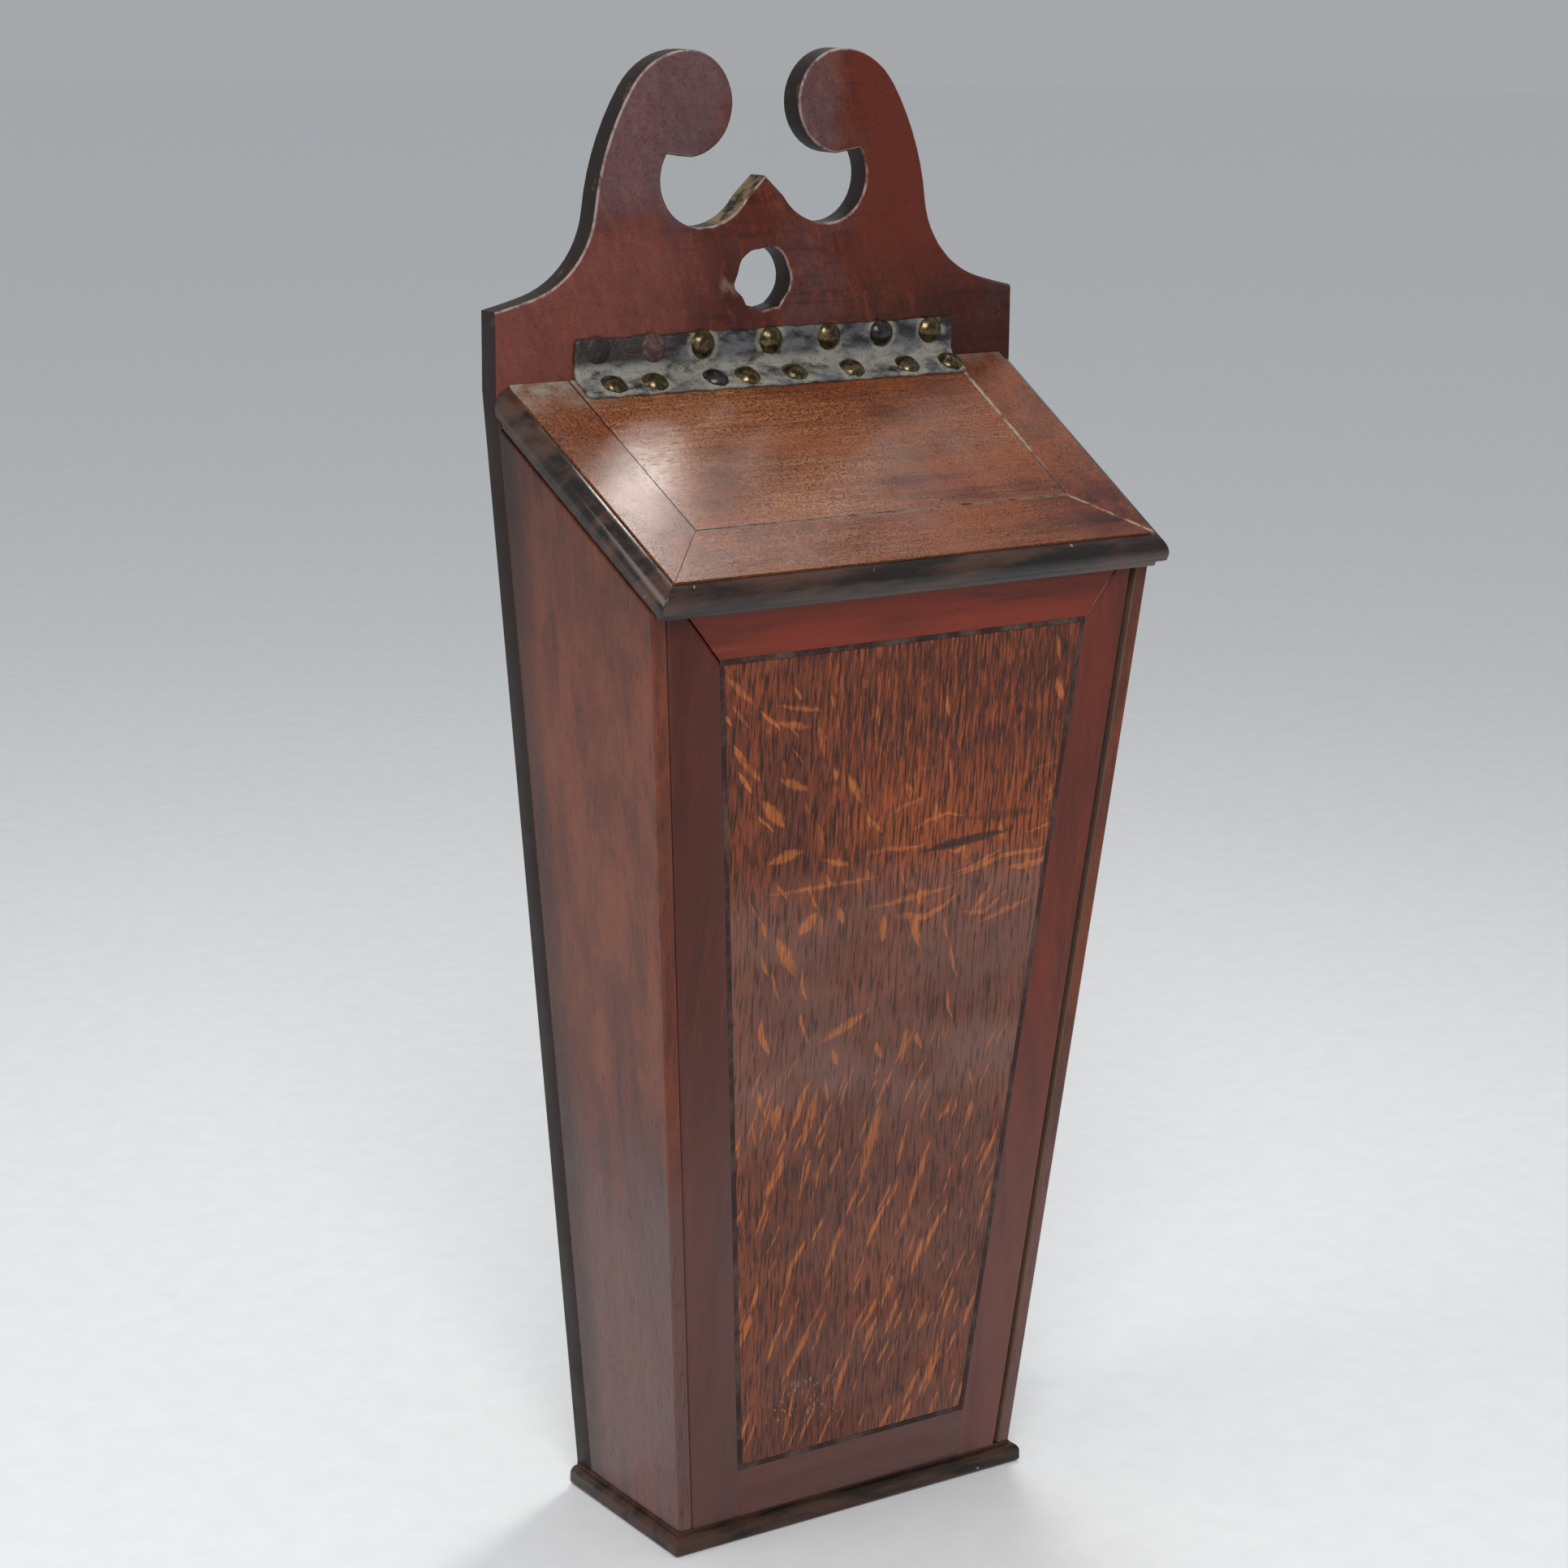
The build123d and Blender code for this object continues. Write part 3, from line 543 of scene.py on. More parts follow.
strokes = strokes + rays(flow + 30, up + 11, ripple, LOW_SHORT_RAYS) * lower
strokes = strokes + rays(flow, up, ripple, MIDDLE_COMMAS) * middle
strokes = strokes + rays(flow, up, ripple, LEFT_COMMAS) * high_left
strokes = strokes + rays(flow + 9, up + 5, ripple, RIGHT_COMMAS) * high_right
level = rays(up + sway * 12, across, ripple, LEVEL_CURVES) * patch
level = level + rays(up + 4 + sway * 16, across + 20, ripple, SHORT_CURVES) * patch
for ends in BOLD_RAYS:
    strokes = strokes + bold_ray(across, up, ripple, ends)
ring = (across + sway * 5 + ripple * 0.5).wave(RING_PITCH)
pore_line = oak.place.stretched(0.80, 0.80, 34).cloud(2, 0.5)
broken_ring = oak.place.stretched(1.6, 1.6, 9).cloud(3, 0.65)
ring_line = ring.below(0.04, 0.34) * broken_ring.above(0.36, 0.56)
ring_line = ring_line * (0.14 + (high_right + patch).above(0, 1) * 0.50)
fine_line = oak.place.stretched(0.36, 0.36, 12).cloud(2, 0.6)
waves = oak.place.stretched(1.25, 1.25, 26).cloud(3, 0.6, 0.9)
flame = oak.world.stretched(42, 42, 60).cloud(3, 0.55)
dull = oak.world.stretched(60, 60, 30).cloud(3, 0.6)
smudge = oak.world.stretched(5, 5, 9).cloud(3, 0.6, 0.5)
base = (pore_line * 0.65 + fine_line * 0.35).above(0.38, 0.60)
tone = base.between(OAK_DARK, OAK_BROWN)
tone = tone.tint(OAK_ORANGE, flame.above(0.44, 0.66) * base * 0.45)
tone = tone.tint(OAK_ORANGE, waves.above(0.50, 0.62) * high_right * 0.75)
tone = tone.tint(OAK_ORANGE, smudge.above(0.62, 0.72) * base * 0.7)
tone = tone.tint(OAK_ORANGE, patch * base * 0.85)
# Painted reflection of the pale floor: a grey sheen over the middle and lower zones of the oak.
sheen_veil = dull.above(0.36, 0.62) * 0.5 + 0.3
tone = tone.tint(OAK_PAINTED_SHEEN, sheen_veil * (middle * 0.8 + lower * 0.45))
marks = (strokes + level).above(0.0, 1.0)
tone = tone.tint(RAY_ORANGE, marks * (0.35 + flame * 0.5) * (0.45 + base * 0.55))
tone = tone.tint(OAK_DARK, pore_line.below(0.31, 0.47) * (0.55 - marks * 0.20))
tone = tone.tint(OAK_DARK, ring_line * (1 - marks * 0.4))
slit = bold_ray(across, up, ripple * 0.7, SLIT)
slit = slit + bold_ray(across, up, ripple * 0.9, SLIT_SHADOW) * 0.5
tone = tone.tint(SLIT_DARK, slit.above(0.0, 0.9) * 0.92)
scratch = oak.world.stretched(0.9, 0.9, 2.2).cloud(2, 0.5).above(0.63, 0.69)
scratch = scratch * abs(across + SCRATCH_LEFT).below(8, 20)
scratch = scratch * abs(up - SCRATCH_UP).below(4, 12)
tone = tone.tint(SCRATCH_PALE, scratch * 0.6)
oak.tone = tone
oak.roughness = 0.25 + pore_line.below(0.34, 0.46) * 0.18 + dull * 0.12
oak.grain_height = pore_line.above(0.34, 0.46) * 0.4 + marks * 0.2 + fine_line * 0.1
left_dry(oak, oak.normal.axis(1).above(0.4, 0.7))
dress("front_board", sealed(oak, depth=0.05), OAK_ARRIS)

# String line round the oak: four narrow strips of wood let in level with the
# front and mitred at the corners. They have gone black and hold some dust.
STRING_DUST = (0.130, 0.092, 0.070, 1)
STRING_ARRIS = 0.0001
string = mahogany("blackened_string", red=0.12, dark=0.6, plum=0.0, gloss=0.34)
settled = string.world.stretched(11, 11, 15).cloud(4, 0.7)
string.tone = string.tone.tint(STRING_DUST, settled.above(0.42, 0.66) * 0.5)
dress("front_stringing", sealed(string), STRING_ARRIS)

# Front banding: mahogany strips round the oak, mitred at the top, butted at
# the foot, and rounded over along the two long outer edges.
UPRIGHT = (0, 0, 0)
LEVEL = (0, -90, 0)
BANDING_ARRIS = 0.00015
BANDING_SHEEN_BELOW = (80, 215)
BANDING_RED = {"top": (0.210, 0.026, 0.011, 1), "right": (0.150, 0.022, 0.011, 1),
               "left": (0.070, 0.015, 0.009, 1), "bottom": (0.080, 0.022, 0.014, 1)}
for place, turn, shift in (("left", UPRIGHT, (40, 3, 9)), ("right", UPRIGHT, (-9, 8, 50)),
                           ("top", LEVEL, (7, 0, 22)), ("bottom", LEVEL, (60, 4, 80))):
    strip = mahogany("front_banding_" + place, turn, shift, plum=0.12, gloss=0.15, figure=0.6)
    soft = strip.place.stretched(10, 10, 90).cloud(3, 0.55)
    height = strip.world.axis(2) + (soft - 0.5) * 60
    strip.tone = strip.tone.tint(BANDING_RED[place], 0.25 + soft.above(0.38, 0.62) * 0.5)
    # Painted reflection of the pale floor: each strip greyed towards the foot.
    floor_reflection = height.below(*BANDING_SHEEN_BELOW) * (0.20 + soft * 0.35)
    strip.tone = strip.tone.tint(PAINTED_SHEEN_GREY, floor_reflection)
    dress("front_banding_" + place, sealed(strip), BANDING_ARRIS)

# Base board: a dark stained board with a moulded edge on three sides, nailed up
# into the box. A few pale chips show where its stain has been knocked off.
STAIN_BLACK = (0.009, 0.006, 0.005, 1)
STAIN_BROWN = (0.085, 0.038, 0.024, 1)
CHIP_PALE = (0.42, 0.27, 0.18, 1)
BASE_ARRIS = 0.0002


def dark_stained(name, turn, shift, gloss=0.26):
    """Wood stained nearly black, rubbed brown in places and chipped in a few."""
    finish = Finish(name, turn, shift)
    place = finish.place
    rubbed = place.stretched(9, 9, 40).cloud(4, 0.6)
    fibre = place.stretched(0.6, 0.6, 14).cloud(2, 0.6)
    chip = finish.world.stretched(3.2, 3.2, 3.2).cloud(1, 0.4).above(0.76, 0.80)
    worn = rubbed.above(0.38, 0.62) * (0.35 + fibre * 0.6)
    tone = worn.between(STAIN_BLACK, STAIN_BROWN)
    tone = tone.tint(CHIP_PALE, chip * 0.7)
    finish.tone = tone
    finish.roughness = gloss + rubbed.above(0.4, 0.7) * 0.14
    finish.grain_height = fibre * 0.4 + rubbed * 0.6
    return finish


dress("base_board", sealed(dark_stained("stained_base", LEVEL, (0, 0, 0))), BASE_ARRIS)

# Lid: a mahogany board with its grain across the box, banded on three sides
# and mitred at the front corners. Hands have rubbed its middle pale, and wax
# and grime lie in its joints, which are placed here in millimetres. The pale
# wear grows towards the left as a painted glare, and along the back and at the
# back-left corner dust lies with a painted reflection of the backboard.
LID_PITCH = 28.6
LID_WARM = (0.220, 0.060, 0.018, 1)
LID_RUBBED_AND_GLARE = (0.380, 0.200, 0.095, 1)
WAX = (0.420, 0.330, 0.240, 1)
DUST_AND_REFLECTION = (0.330, 0.310, 0.250, 1)
JOINT_FRONT = -82.56
JOINT_HALF = 77.69
JOINT_SPLAY = 0.0476
JOINT_LINE = (0.25, 0.55)
RIGHT_MITRE = -8.8
GLARE_LEFT = (-30, 70)
CORNER_LEFT, CORNER_BACK = (-78, -60), (-32, -14)
CREASE_LEFT, CREASE_BACK, CREASE_LINE = (-70, -58), (-27, -13), (-18, -11)
WAX_RIGHT, WAX_BACK = (0, 10), (-78, -50)
LID_ARRIS = 0.0002
LID_BANDING_ARRIS = 0.00015


def lid_finish(name, turn, shift, rub):
    """Lid mahogany: faded and rubbed pale, glare painted to the left, wax and dust in its joints,
    reflection painted at its back.
    """
    finish = mahogany(name, turn, shift, dark=-0.1, plum=0.05, gloss=0.20, figure=0.7)
    wear = finish.world.stretched(70, 60, 60).cloud(2, 0.5)
    speck = finish.world.stretched(0.8, 0.8, 0.8).cloud(2, 0.6)
    fine = finish.place.stretched(0.45, 0.45, 8).cloud(2, 0.6)
    streak = finish.place.stretched(1.6, 1.6, 45).cloud(3, 0.6)
    worn = wear.above(0.32, 0.56) * rub
    finish.tone = finish.tone.tint(LID_WARM, worn * (0.35 + fine.above(0.36, 0.6) * 0.5))
    # Painted glare: the rubbed paleness grows towards the left of the lid.
    glare_leftward = finish.world.axis(0).below(*GLARE_LEFT)
    pale = worn * (streak.above(0.40, 0.62) * 0.6 + 0.3) * speck.above(0.42, 0.58)
    finish.tone = finish.tone.tint(LID_RUBBED_AND_GLARE, pale * (0.30 + glare_leftward * 0.45))
    glow = finish.place.stretched(14, 14, 60).cloud(3, 0.6)
    finish.tone = finish.tone.tint(LID_WARM, glow.above(0.46, 0.60) * 0.5)
    finish.tone = finish.tone.tint(GRIME, speck.below(0.38, 0.46) * 0.55)
    across = finish.world.axis(0)
    back = finish.world.axis(1)
    # Dust, and a painted reflection of the backboard: pale along the back edge and at the back-left
    # corner.
    corner = across.below(*CORNER_LEFT) * back.above(*CORNER_BACK)
    crease = back.above(*CREASE_BACK) * across.below(*CREASE_LEFT)
    crease = crease + back.above(*CREASE_LINE) * 0.8
    patchy = finish.world.stretched(6, 6, 6).cloud(4, 0.65)
    dusty = (corner * 0.22 + crease * 0.30) * patchy.above(0.22, 0.72)
    finish.tone = finish.tone.tint(DUST_AND_REFLECTION, dusty)
    aside = abs(across) - (back * JOINT_SPLAY + JOINT_HALF)
    seam = abs(aside).below(*JOINT_LINE) * back.above(JOINT_FRONT - 0.5, JOINT_FRONT)
    along = abs(back - JOINT_FRONT).below(*JOINT_LINE) * aside.below(0.0, 0.4)
    finish.tone = finish.tone.tint(GRIME, (seam + along).above(0, 1) * 0.85)
    mitre = abs(across + back - RIGHT_MITRE).below(0.4, 1.3) * aside.above(-0.5, 1.0)
    waxed = abs(aside - 0.6).below(0.3, 1.1) * across.above(*WAX_RIGHT) * back.above(*WAX_BACK)
    waxed = (waxed + along * 0.5 + mitre) * patchy.above(0.38, 0.55)
    finish.tone = finish.tone.tint(WAX, waxed * 0.55)
    left_dry(finish, (finish.normal.axis(2) * -1).above(0.4, 0.7))
    finish.roughness = finish.roughness + crease * 0.2
    return finish


lid_field = lid_finish("lid_board", LEVEL, (20, 9, 31), 1.0)
dress("lid_board", sealed(lid_field), LID_ARRIS)
for place, turn, shift in (("left", (LID_PITCH + 90, 0, 0), (9, 30, 4)),
                           ("right", (LID_PITCH + 90, 0, 0), (70, 12, 40)),
                           ("front", LEVEL, (5, 60, 12))):
    strip = lid_finish("lid_banding_" + place, turn, shift, 0.55)
    dress("lid_banding_" + place, sealed(strip), LID_BANDING_ARRIS)

# Lid moulding: a dark stained thumb moulding, glued round three edges of the
# lid and mitred at the two front corners.
MOULDING_ARRIS = 0.0003
for place, turn in (("left", (LID_PITCH + 90, 0, 0)), ("right", (LID_PITCH + 90, 0, 0)),
                    ("front", LEVEL)):
    moulding = dark_stained("stained_moulding_" + place, turn, (11, 5, 17), gloss=0.16)
    dress("lid_moulding_" + place, sealed(moulding, depth=0.05, specular=0.5), MOULDING_ARRIS)

# Nails: plain square ones of iron, gone brown. They hold the backboard to the
# sides from behind, and the base to the sides and the front from below.
IRON_BROWN = (0.045, 0.026, 0.020, 1)
IRON_RUST = (0.140, 0.060, 0.030, 1)


def metal(name, dull, bright, dirt, rough, metallic):
    """Old metal: bright and dull in patches of tarnish, dirty and pitted in its low spots."""
    finish = Finish(name)
    tarnish = finish.world.stretched(2.2, 2.2, 2.2).cloud(3, 0.6)
    pits = finish.world.stretched(0.55, 0.55, 0.55).cloud(2, 0.6)
    tone = tarnish.above(0.42, 0.64).between(dull, bright)
    tone = tone.tint(dirt, pits.below(0.30, 0.44) * 0.7)
    finish.set(Base_Color=tone, Metallic=metallic, Roughness=tarnish * 0.22 + rough)
    finish.relief(pits * 0.5 + tarnish * 0.5, 0.06)
    return finish.material


iron = metal("old_iron", IRON_BROWN, IRON_RUST, GRIME, 0.45, 0.6)
for node in ("back_nails", "base_nails"):
    dress(node, iron)

# Leather hinge: one strip of harness leather, black with age, folded along the
# crease and tacked above to the back and below to the lid. Pale green bloom
# from the brass stands round its tacks, and dust lies along the fold.
LEATHER_THICK = 0.0016
leather_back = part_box("hinge_leather_back")
LEFT = leather_back[0][0]
RIGHT = leather_back[1][0]
TOP = leather_back[1][2]
BACK_FACE = leather_back[1][1]
PITCH = math.radians(LID_PITCH)
CREASE_HEIGHT = 0.3945
CREASE = Vector((0, BACK_FACE, CREASE_HEIGHT))
REACH = 0.012
DOWN = Vector((0, -math.cos(PITCH), -math.sin(PITCH)))
OUT_OF_LID = Vector((0, -math.sin(PITCH), math.cos(PITCH)))
UP = Vector((0, 0, 1))
OUT_OF_BACK = Vector((0, -1, 0))
UPPER_TACKS = [LEFT + (RIGHT - LEFT) * share for share in (
    0.058, 0.194, 0.322, 0.500, 0.655, 0.799, 0.935)]
LOWER_TACKS = [LEFT + (RIGHT - LEFT) * share for share in (
    0.078, 0.181, 0.336, 0.418, 0.543, 0.699, 0.850, 0.971)]
TACK_ROW_RISE = 0.009
TACK_ROW_REACH = 0.0062
COLUMNS = 200
ROWS = 40
FOLD_TURN = 0.0011
FOLD_REACH = 0.0016
FOLD_SWELL = 0.0005
SUNK_DEEP = 0.00035
SUNK_REACH = 0.0052
SWELL_BROAD = 0.00022
SWELL_FINE = 0.00012
RAGGED_TOP = 0.0006
RAGGED_LOW = 0.0007
RAGGED_SIDE = 0.0005
TRIMMED_TOP = 0.0004
TRIMMED_LOW = 0.0005
CORNER_SHARE = 0.14
CORNER_CUT = 0.0016
RIM_WIDE = 0.0009
RIM_DROP = 0.0007
OFF_THE_WOOD = 0.00005


def strip_place(run, height):
    """A point of the folded strip: run is up from the crease, height off the wood."""
    turn = 0.5 + 0.5 * math.tanh(run / FOLD_TURN)
    along = UP * max(run, 0) + DOWN * max(-run, 0)
    out = (OUT_OF_LID * (1 - turn) + OUT_OF_BACK * turn).normalized()
    fold = math.exp(-(run / FOLD_REACH) ** 2)
    lift = (OUT_OF_LID + OUT_OF_BACK).normalized() * FOLD_SWELL * fold
    return CREASE + along + out * height + lift


def puffed(x, run):
    """Leather height: sunk round each tack, swollen between, ragged at the ends."""
    height = LEATHER_THICK
    row = UPPER_TACKS if run > 0 else LOWER_TACKS
    offset = TACK_ROW_RISE if run > 0 else -TACK_ROW_REACH
    for tack_x in row:
        distance = math.hypot(x - tack_x, run - offset)
        height -= SUNK_DEEP * math.exp(-(distance / SUNK_REACH) ** 2)
    height += SWELL_BROAD * noise.noise(Vector((x * 160, run * 300, 3.1)))
    height += SWELL_FINE * noise.noise(Vector((x * 700, run * 700, 8.4)))
    return height


def leather_strip():
    """The strip as one closed skin: outer face, inner face and rim."""
    verts = []
    faces = []
    for skin in (0, 1):
        for row in range(ROWS + 1):
            share = row / ROWS
            for column in range(COLUMNS + 1):
                across = column / COLUMNS
                ragged_top = RAGGED_TOP * noise.noise(Vector((across * 21, 0, 1.7)))
                ragged_low = RAGGED_LOW * noise.noise(Vector((across * 25, 0, 6.2)))
                high = TOP - CREASE.z - TRIMMED_TOP + ragged_top
                low = -REACH + TRIMMED_LOW + ragged_low
                run = low + (high - low) * share
                ragged_side = RAGGED_SIDE * noise.noise(Vector((0, share * 6, across * 3)))
                corner = max(abs(share - 0.5) * 2 - (1 - CORNER_SHARE), 0) / CORNER_SHARE
                inset = CORNER_CUT * (1 - math.sqrt(max(1 - corner ** 2, 0)))
                x = LEFT + inset + (RIGHT - LEFT - 2 * inset) * across + ragged_side
                edge = min(across, 1 - across) * (RIGHT - LEFT)
                edge = min(edge, (1 - share) * (high - low), share * (high - low))
                rim = min(edge / RIM_WIDE, 1)
                round_off = RIM_DROP * (1 - math.sqrt(1 - (1 - rim) ** 2))
                height = puffed(x, run) - round_off if skin == 0 else OFF_THE_WOOD
                verts.append(strip_place(run, height) + Vector((x, 0, 0)))
    wide = COLUMNS + 1
    layer = wide * (ROWS + 1)
    for row in range(ROWS):
        for column in range(COLUMNS):
            a = row * wide + column
            faces.append((a, a + 1, a + wide + 1, a + wide))
            b = a + layer
            faces.append((b, b + wide, b + wide + 1, b + 1))
    for column in range(COLUMNS):
        low = column
        faces.append((low, low + layer, low + layer + 1, low + 1))
        high = ROWS * wide + column
        faces.append((high, high + 1, high + 1 + layer, high + layer))
    for row in range(ROWS):
        left = row * wide
        faces.append((left, left + wide, left + wide + layer, left + layer))
        right = left + COLUMNS
        faces.append((right, right + layer, right + layer + wide, right + wide))
    return verts, faces


verts, faces = leather_strip()
mesh = bpy.data.meshes.new("leather_hinge")
mesh.from_pydata([tuple(vert) for vert in verts], [], faces)
mesh.shade_smooth()
hinge = put_in_scene("leather_hinge", mesh)

LEATHER_BLACK = (0.013, 0.011, 0.011, 1)
LEATHER_GREY = (0.105, 0.107, 0.116, 1)
LEATHER_TAN = (0.090, 0.036, 0.022, 1)
VERDIGRIS = (0.230, 0.230, 0.175, 1)
FOLD_DUST = (0.300, 0.285, 0.240, 1)
FOLD_MIDDLE = 395.8
FOLD_BELOW = (393, 397)
HALO_RADIUS = 7
LID_STRETCH = 1.9
TAN_LEFT, TAN_ABOVE = (-52, -26), (397, 401)
leather = Finish("harness_leather")
x = leather.world.axis(0)
z = leather.world.axis(2)
scuff = leather.world.stretched(10, 8, 5).cloud(4, 0.65)
crackle = leather.world.stretched(1.0, 1.0, 1.0).cloud(3, 0.6)
bloom = leather.world.stretched(7, 5, 4).cloud(3, 0.6)
near_fold = abs(z - FOLD_MIDDLE).below(0.8, 4.6)
halo = scuff * 0
for row, level in ((UPPER_TACKS[2:], CREASE.z + TACK_ROW_RISE),
                   (LOWER_TACKS, CREASE.z - TACK_ROW_REACH * math.sin(PITCH))):
    for tack_x in row:
        aside = x - tack_x * MILLIMETRES
        above = (z - level * MILLIMETRES) * (1.0 if level > CREASE.z else LID_STRETCH)
        far = (aside * aside + above * above) / HALO_RADIUS ** 2
        halo = halo + far.below(0.42, 1.15)
tan_end = x.below(*TAN_LEFT) * z.above(*TAN_ABOVE)
tone = (scuff.above(0.40, 0.62) * (1 - tan_end * 0.85)).between(LEATHER_BLACK, LEATHER_GREY)
tone = tone.tint(LEATHER_TAN, crackle.above(0.50, 0.62) * tan_end * 0.8)
tone = tone.tint(VERDIGRIS, halo.above(0.05, 0.9) * bloom.above(0.34, 0.58) * 0.85)
tone = tone.tint(FOLD_DUST, near_fold * bloom.above(0.26, 0.56) * 0.75)
tone = tone.tint(FOLD_DUST, z.below(*FOLD_BELOW) * bloom.above(0.40, 0.62) * 0.55)
tone = tone.tint(LEATHER_BLACK, crackle.below(0.34, 0.44) * 0.5)
leather.set(Base_Color=tone, Roughness=scuff * 0.2 + 0.30, Specular_IOR_Level=0.45)
leather.relief(crackle * 0.55 + scuff * 0.45, depth=0.22)
mesh.materials.append(leather.material)
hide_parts("hinge_leather_back", "hinge_leather_lid")
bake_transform(hinge)

# Tacks: domed brass heads, thin with age, a few gone black. Two at the upper
# left have been beaten flat and are brown. Each was driven in by eye.
HEAD_RADIUS = 0.0047
HEAD_RISE = 0.0026
LID_HEAD_RISE = HEAD_RISE * 0.9
FLAT_RISE = 0.0009
HEAD_TILT = 0.16
HEAD_OVAL = 0.07
TURNED_IN = ((1.01, -0.00022), (0.86, -0.00045))
DENT_WIDE = 0.035
DENT_DEEP = 0.00010
SHANK_HALF = 0.0008
SHANK_TIP = 0.4
SHANK_LENGTH = 0.0080
PRESSED_IN = 0.0001
RINGS = 9
SEGMENTS = 30
SEED_STEP = 3.7
BRASS_DULL = (0.050, 0.036, 0.016, 1)
BRASS_BRIGHT = (0.160, 0.120, 0.056, 1)
BRASS_DIRT = (0.020, 0.017, 0.012, 1)
BLACK_BRIGHT = (0.050, 0.052, 0.060, 1)
FLAT_BROWN = (0.045, 0.018, 0.014, 1)
FLAT_MAUVE = (0.105, 0.056, 0.058, 1)


def add_tack(verts, faces, centre, out, rise, seed):
    """One tack: a slightly uneven dome, its rim turned in, and a square shank."""
    tilt = Vector((noise.noise(Vector((seed, 0.3, 0))), 0, noise.noise(Vector((0, seed, 0.7)))))
    out = (out + tilt * HEAD_TILT).normalized()
    side = out.cross(Vector((0, 0.3, 1))).normalized()
    other = out.cross(side)
    oval = 1 + HEAD_OVAL * noise.noise(Vector((seed, seed, 0.5)))
    ball = (HEAD_RADIUS ** 2 + rise ** 2) / (2 * rise)
    lean = math.asin(HEAD_RADIUS / ball)
    start = len(verts)
    verts.append(centre + out * rise)
    profile = []
    for ring in range(1, RINGS + 1):
        angle = lean * ring / RINGS
        profile.append((ball * math.sin(angle), rise - ball * (1 - math.cos(angle))))
    for share, height in TURNED_IN:
        profile.append((HEAD_RADIUS * share, height))
    for radius, height in profile:
        for segment in range(SEGMENTS):
            turn = 2 * math.pi * segment / SEGMENTS
            spot = Vector((math.cos(turn) * 1.3, math.sin(turn) * 1.3, seed + radius * 500))
            dent = noise.noise(spot)
            reach = radius * (1 + DENT_WIDE * dent)
            point = side * (reach * math.cos(turn) * oval) + other * (reach * math.sin(turn) / oval)
            rise_here = height + DENT_DEEP * dent * (radius < HEAD_RADIUS)
            verts.append(centre + point + out * rise_here)
    for segment in range(SEGMENTS):
        faces.append((start, start + 1 + segment, start + 1 + (segment + 1) % SEGMENTS))
    for ring in range(len(profile) - 1):
        row = start + 1 + ring * SEGMENTS
        for segment in range(SEGMENTS):
            after = (segment + 1) % SEGMENTS
            faces.append((row + segment, row + SEGMENTS + segment,
                          row + SEGMENTS + after, row + after))
    last = start + 1 + (len(profile) - 1) * SEGMENTS
    faces.append(tuple(last + segment for segment in range(SEGMENTS)))
    shank = len(verts)
    for depth, half in ((0.0, SHANK_HALF), (-SHANK_LENGTH, SHANK_HALF * SHANK_TIP)):
        for x, z in ((-1, -1), (1, -1), (1, 1), (-1, 1)):
            verts.append(centre + side * (x * half) + other * (z * half) + out * depth)
    for edge in range(4):
        after = (edge + 1) % 4
        faces.append((shank + edge, shank + 4 + edge, shank + 4 + after, shank + after))
    faces.append((shank, shank + 1, shank + 2, shank + 3))
    faces.append((shank + 7, shank + 6, shank + 5, shank + 4))


def tack_heads(name, places, foot, out, rise, finishes, body, node):
    """A row of tacks as one piece, with a finish to each tack in turn."""
    verts = []
    faces = []
    owner = []
    for number, x in enumerate(places):
        before = len(faces)
        seed = number * SEED_STEP + len(name)
        add_tack(verts, faces, foot + Vector((x, 0, 0)), out, rise, seed)
        owner += [number % len(finishes)] * (len(faces) - before)
    mesh = bpy.data.meshes.new(name)
    mesh.from_pydata([tuple(vert) for vert in verts], [], faces)
    for finish in finishes:
        mesh.materials.append(finish)
    mesh.shade_smooth()
    for face, index in zip(mesh.polygons, owner):
        face.material_index = index
    heads = put_in_scene(name, mesh)
    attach(heads, body)
    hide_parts(node)


brass = metal("old_brass", BRASS_DULL, BRASS_BRIGHT, BRASS_DIRT, 0.12, 0.8)
black = metal("blackened_brass", BRASS_DIRT, BLACK_BRIGHT, BRASS_DIRT, 0.10, 0.6)
flat_brown = metal("flat_brown_tack", GRIME, FLAT_BROWN, GRIME, 0.42, 0.0)
flat_mauve = metal("flat_mauve_tack", FLAT_BROWN, FLAT_MAUVE, GRIME, 0.36, 0.0)
upper_foot = CREASE + UP * TACK_ROW_RISE + OUT_OF_BACK * (LEATHER_THICK - PRESSED_IN)
lower_foot = CREASE + DOWN * TACK_ROW_REACH + OUT_OF_LID * (LEATHER_THICK - PRESSED_IN)
tack_heads("tack_heads_back", UPPER_TACKS[2:], upper_foot, OUT_OF_BACK, HEAD_RISE,
           [brass, brass, brass, black, brass], "case", "tacks_back")
tack_heads("tack_heads_back_flat", UPPER_TACKS[:2], upper_foot, OUT_OF_BACK, FLAT_RISE,
           [flat_brown, flat_mauve], "case", "tacks_back_worn")
tack_heads("tack_heads_lid", LOWER_TACKS, lower_foot, OUT_OF_LID, LID_HEAD_RISE,
           [brass, brass, black, brass, brass, brass, brass, brass], "lid", "tacks_lid")

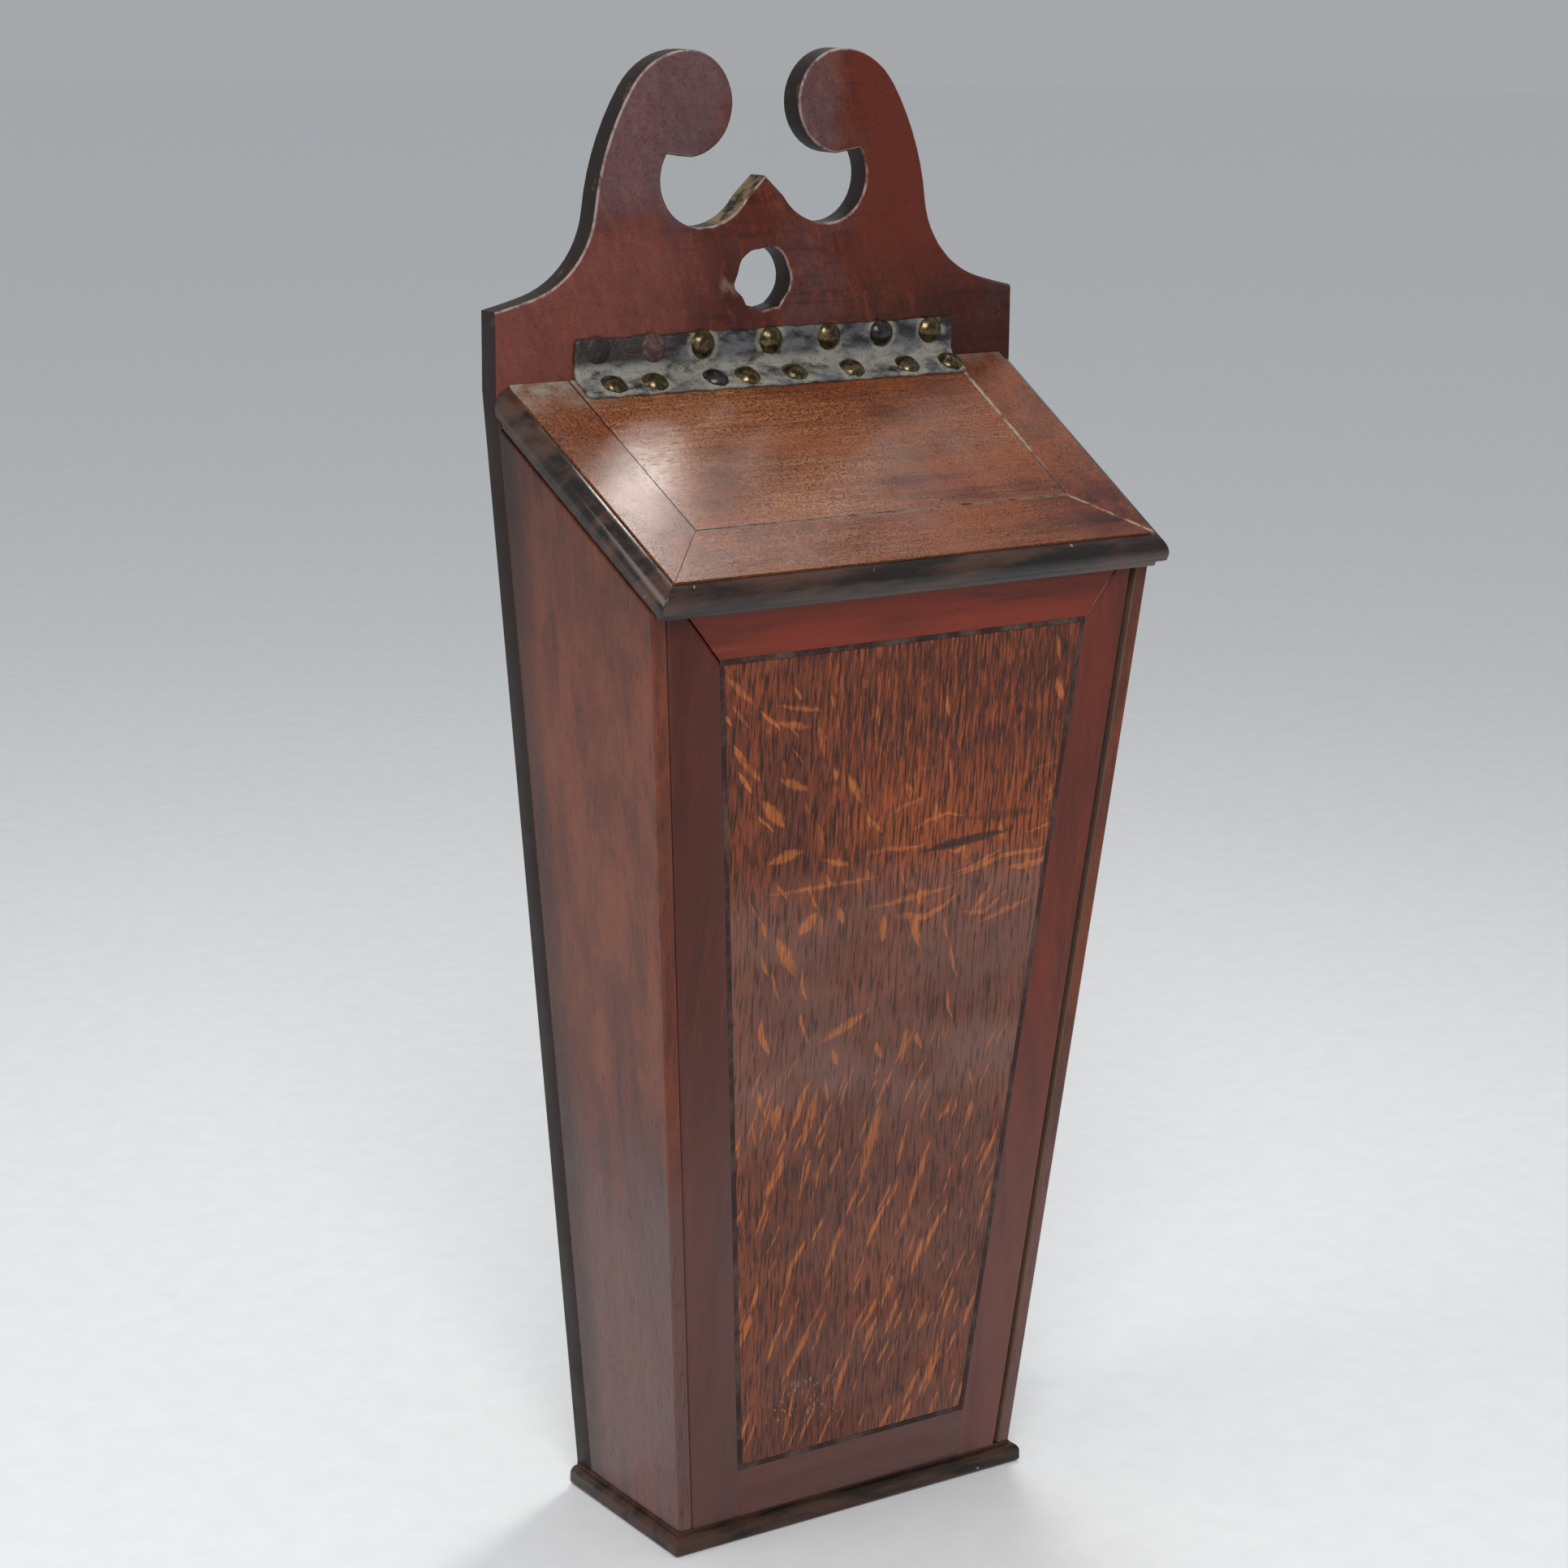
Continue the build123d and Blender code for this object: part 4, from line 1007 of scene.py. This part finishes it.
# Floor, lamps and camera: a plain pale floor, a broad soft lamp high in front on
# the left, a weaker one at the left side, a small one behind on the right for
# the glint on the lid, and the camera where the photograph's was.
FLOOR_RADIUS = 14.0
FLOOR_SIDES = 72
FLOOR_DROP = 0.0002
FLOOR_PALE = (0.80, 0.815, 0.83, 1)
FLOOR_SHADE = (0.77, 0.785, 0.80, 1)
CAMERA_PLACE = (-0.6480, -0.9891, 0.5299)
CAMERA_TURN = 33.864
CAMERA_DOWN = 13.452
CAMERA_ROLL = 0.500
LENS = 79.46
SENSOR_WIDE = 36.0
SKY_COLOUR = (0.95, 0.97, 1.0, 1)
SKY_LIGHT = 0.50
SKY_SHOWN_LESS = 0.10
BOX_MIDDLE = (0, 0, 0.25)

floor_mesh = bpy.data.meshes.new("studio_floor")
angles = [math.radians(step * 360 / FLOOR_SIDES) for step in range(FLOOR_SIDES)]
rim = [(FLOOR_RADIUS * math.cos(angle), FLOOR_RADIUS * math.sin(angle), -FLOOR_DROP)
       for angle in angles]
floor_mesh.from_pydata(rim, [], [list(range(FLOOR_SIDES))])
floor = put_in_scene("studio_floor", floor_mesh)
paper = Finish("studio_paper")
fine = paper.world.stretched(14, 14, 14).cloud(3, 0.6)
paper.set(Base_Color=fine.above(0.3, 0.7).between(FLOOR_PALE, FLOOR_SHADE),
          Roughness=fine * 0.1 + 0.6)
paper.relief(fine, depth=0.02)
floor_mesh.materials.append(paper.material)

world = bpy.data.worlds.new("studio")
world.use_nodes = True
bpy.context.scene.world = world
sky = world.node_tree.nodes["Background"]
path = world.node_tree.nodes.new("ShaderNodeLightPath")
seen = Tone(path.outputs["Is Camera Ray"]) + Tone(path.outputs["Is Transmission Ray"])
glance = Tone(path.outputs["Is Glossy Ray"])
strength = SKY_LIGHT - (seen + glance) * SKY_SHOWN_LESS
sky.inputs["Color"].default_value = SKY_COLOUR
world.node_tree.links.new(strength.socket, sky.inputs["Strength"])


def lamp(name, place, aim, width, height, power, colour):
    """A soft rectangular lamp at a place, turned to a point."""
    light = bpy.data.lights.new(name, "AREA")
    light.shape = "RECTANGLE"
    light.size = width
    light.size_y = height
    light.energy = power
    light.color = colour
    holder = put_in_scene(name, light)
    holder.location = place
    holder.rotation_euler = (Vector(aim) - Vector(place)).to_track_quat("-Z", "Y").to_euler()


lamp("key_lamp", place=(-0.9, -1.5, 1.7), aim=BOX_MIDDLE, width=0.9, height=0.9, power=26.0,
     colour=(1.0, 0.985, 0.96))
lamp("side_lamp", place=(-1.8, 0.2, 1.1), aim=BOX_MIDDLE, width=1.0, height=1.0, power=9.0,
     colour=(1.0, 0.98, 0.95))
lamp("glint_lamp", place=(0.300, 0.235, 1.08), aim=(-0.08, -0.055, 0.37), width=0.11,
     height=0.46, power=3.6, colour=(1.0, 0.98, 0.94))

camera_data = bpy.data.cameras.new("photo_camera")
camera_data.lens = LENS
camera_data.sensor_width = SENSOR_WIDE
camera = put_in_scene("photo_camera", camera_data)
camera.matrix_world = (
    Matrix.Translation(CAMERA_PLACE)
    @ Matrix.Rotation(math.radians(-CAMERA_TURN), 4, "Z")
    @ Matrix.Rotation(math.radians(90 - CAMERA_DOWN), 4, "X")
    @ Matrix.Rotation(math.radians(CAMERA_ROLL), 4, "Z"))
bpy.context.scene.camera = camera
bpy.context.scene.view_settings.view_transform = "Standard"
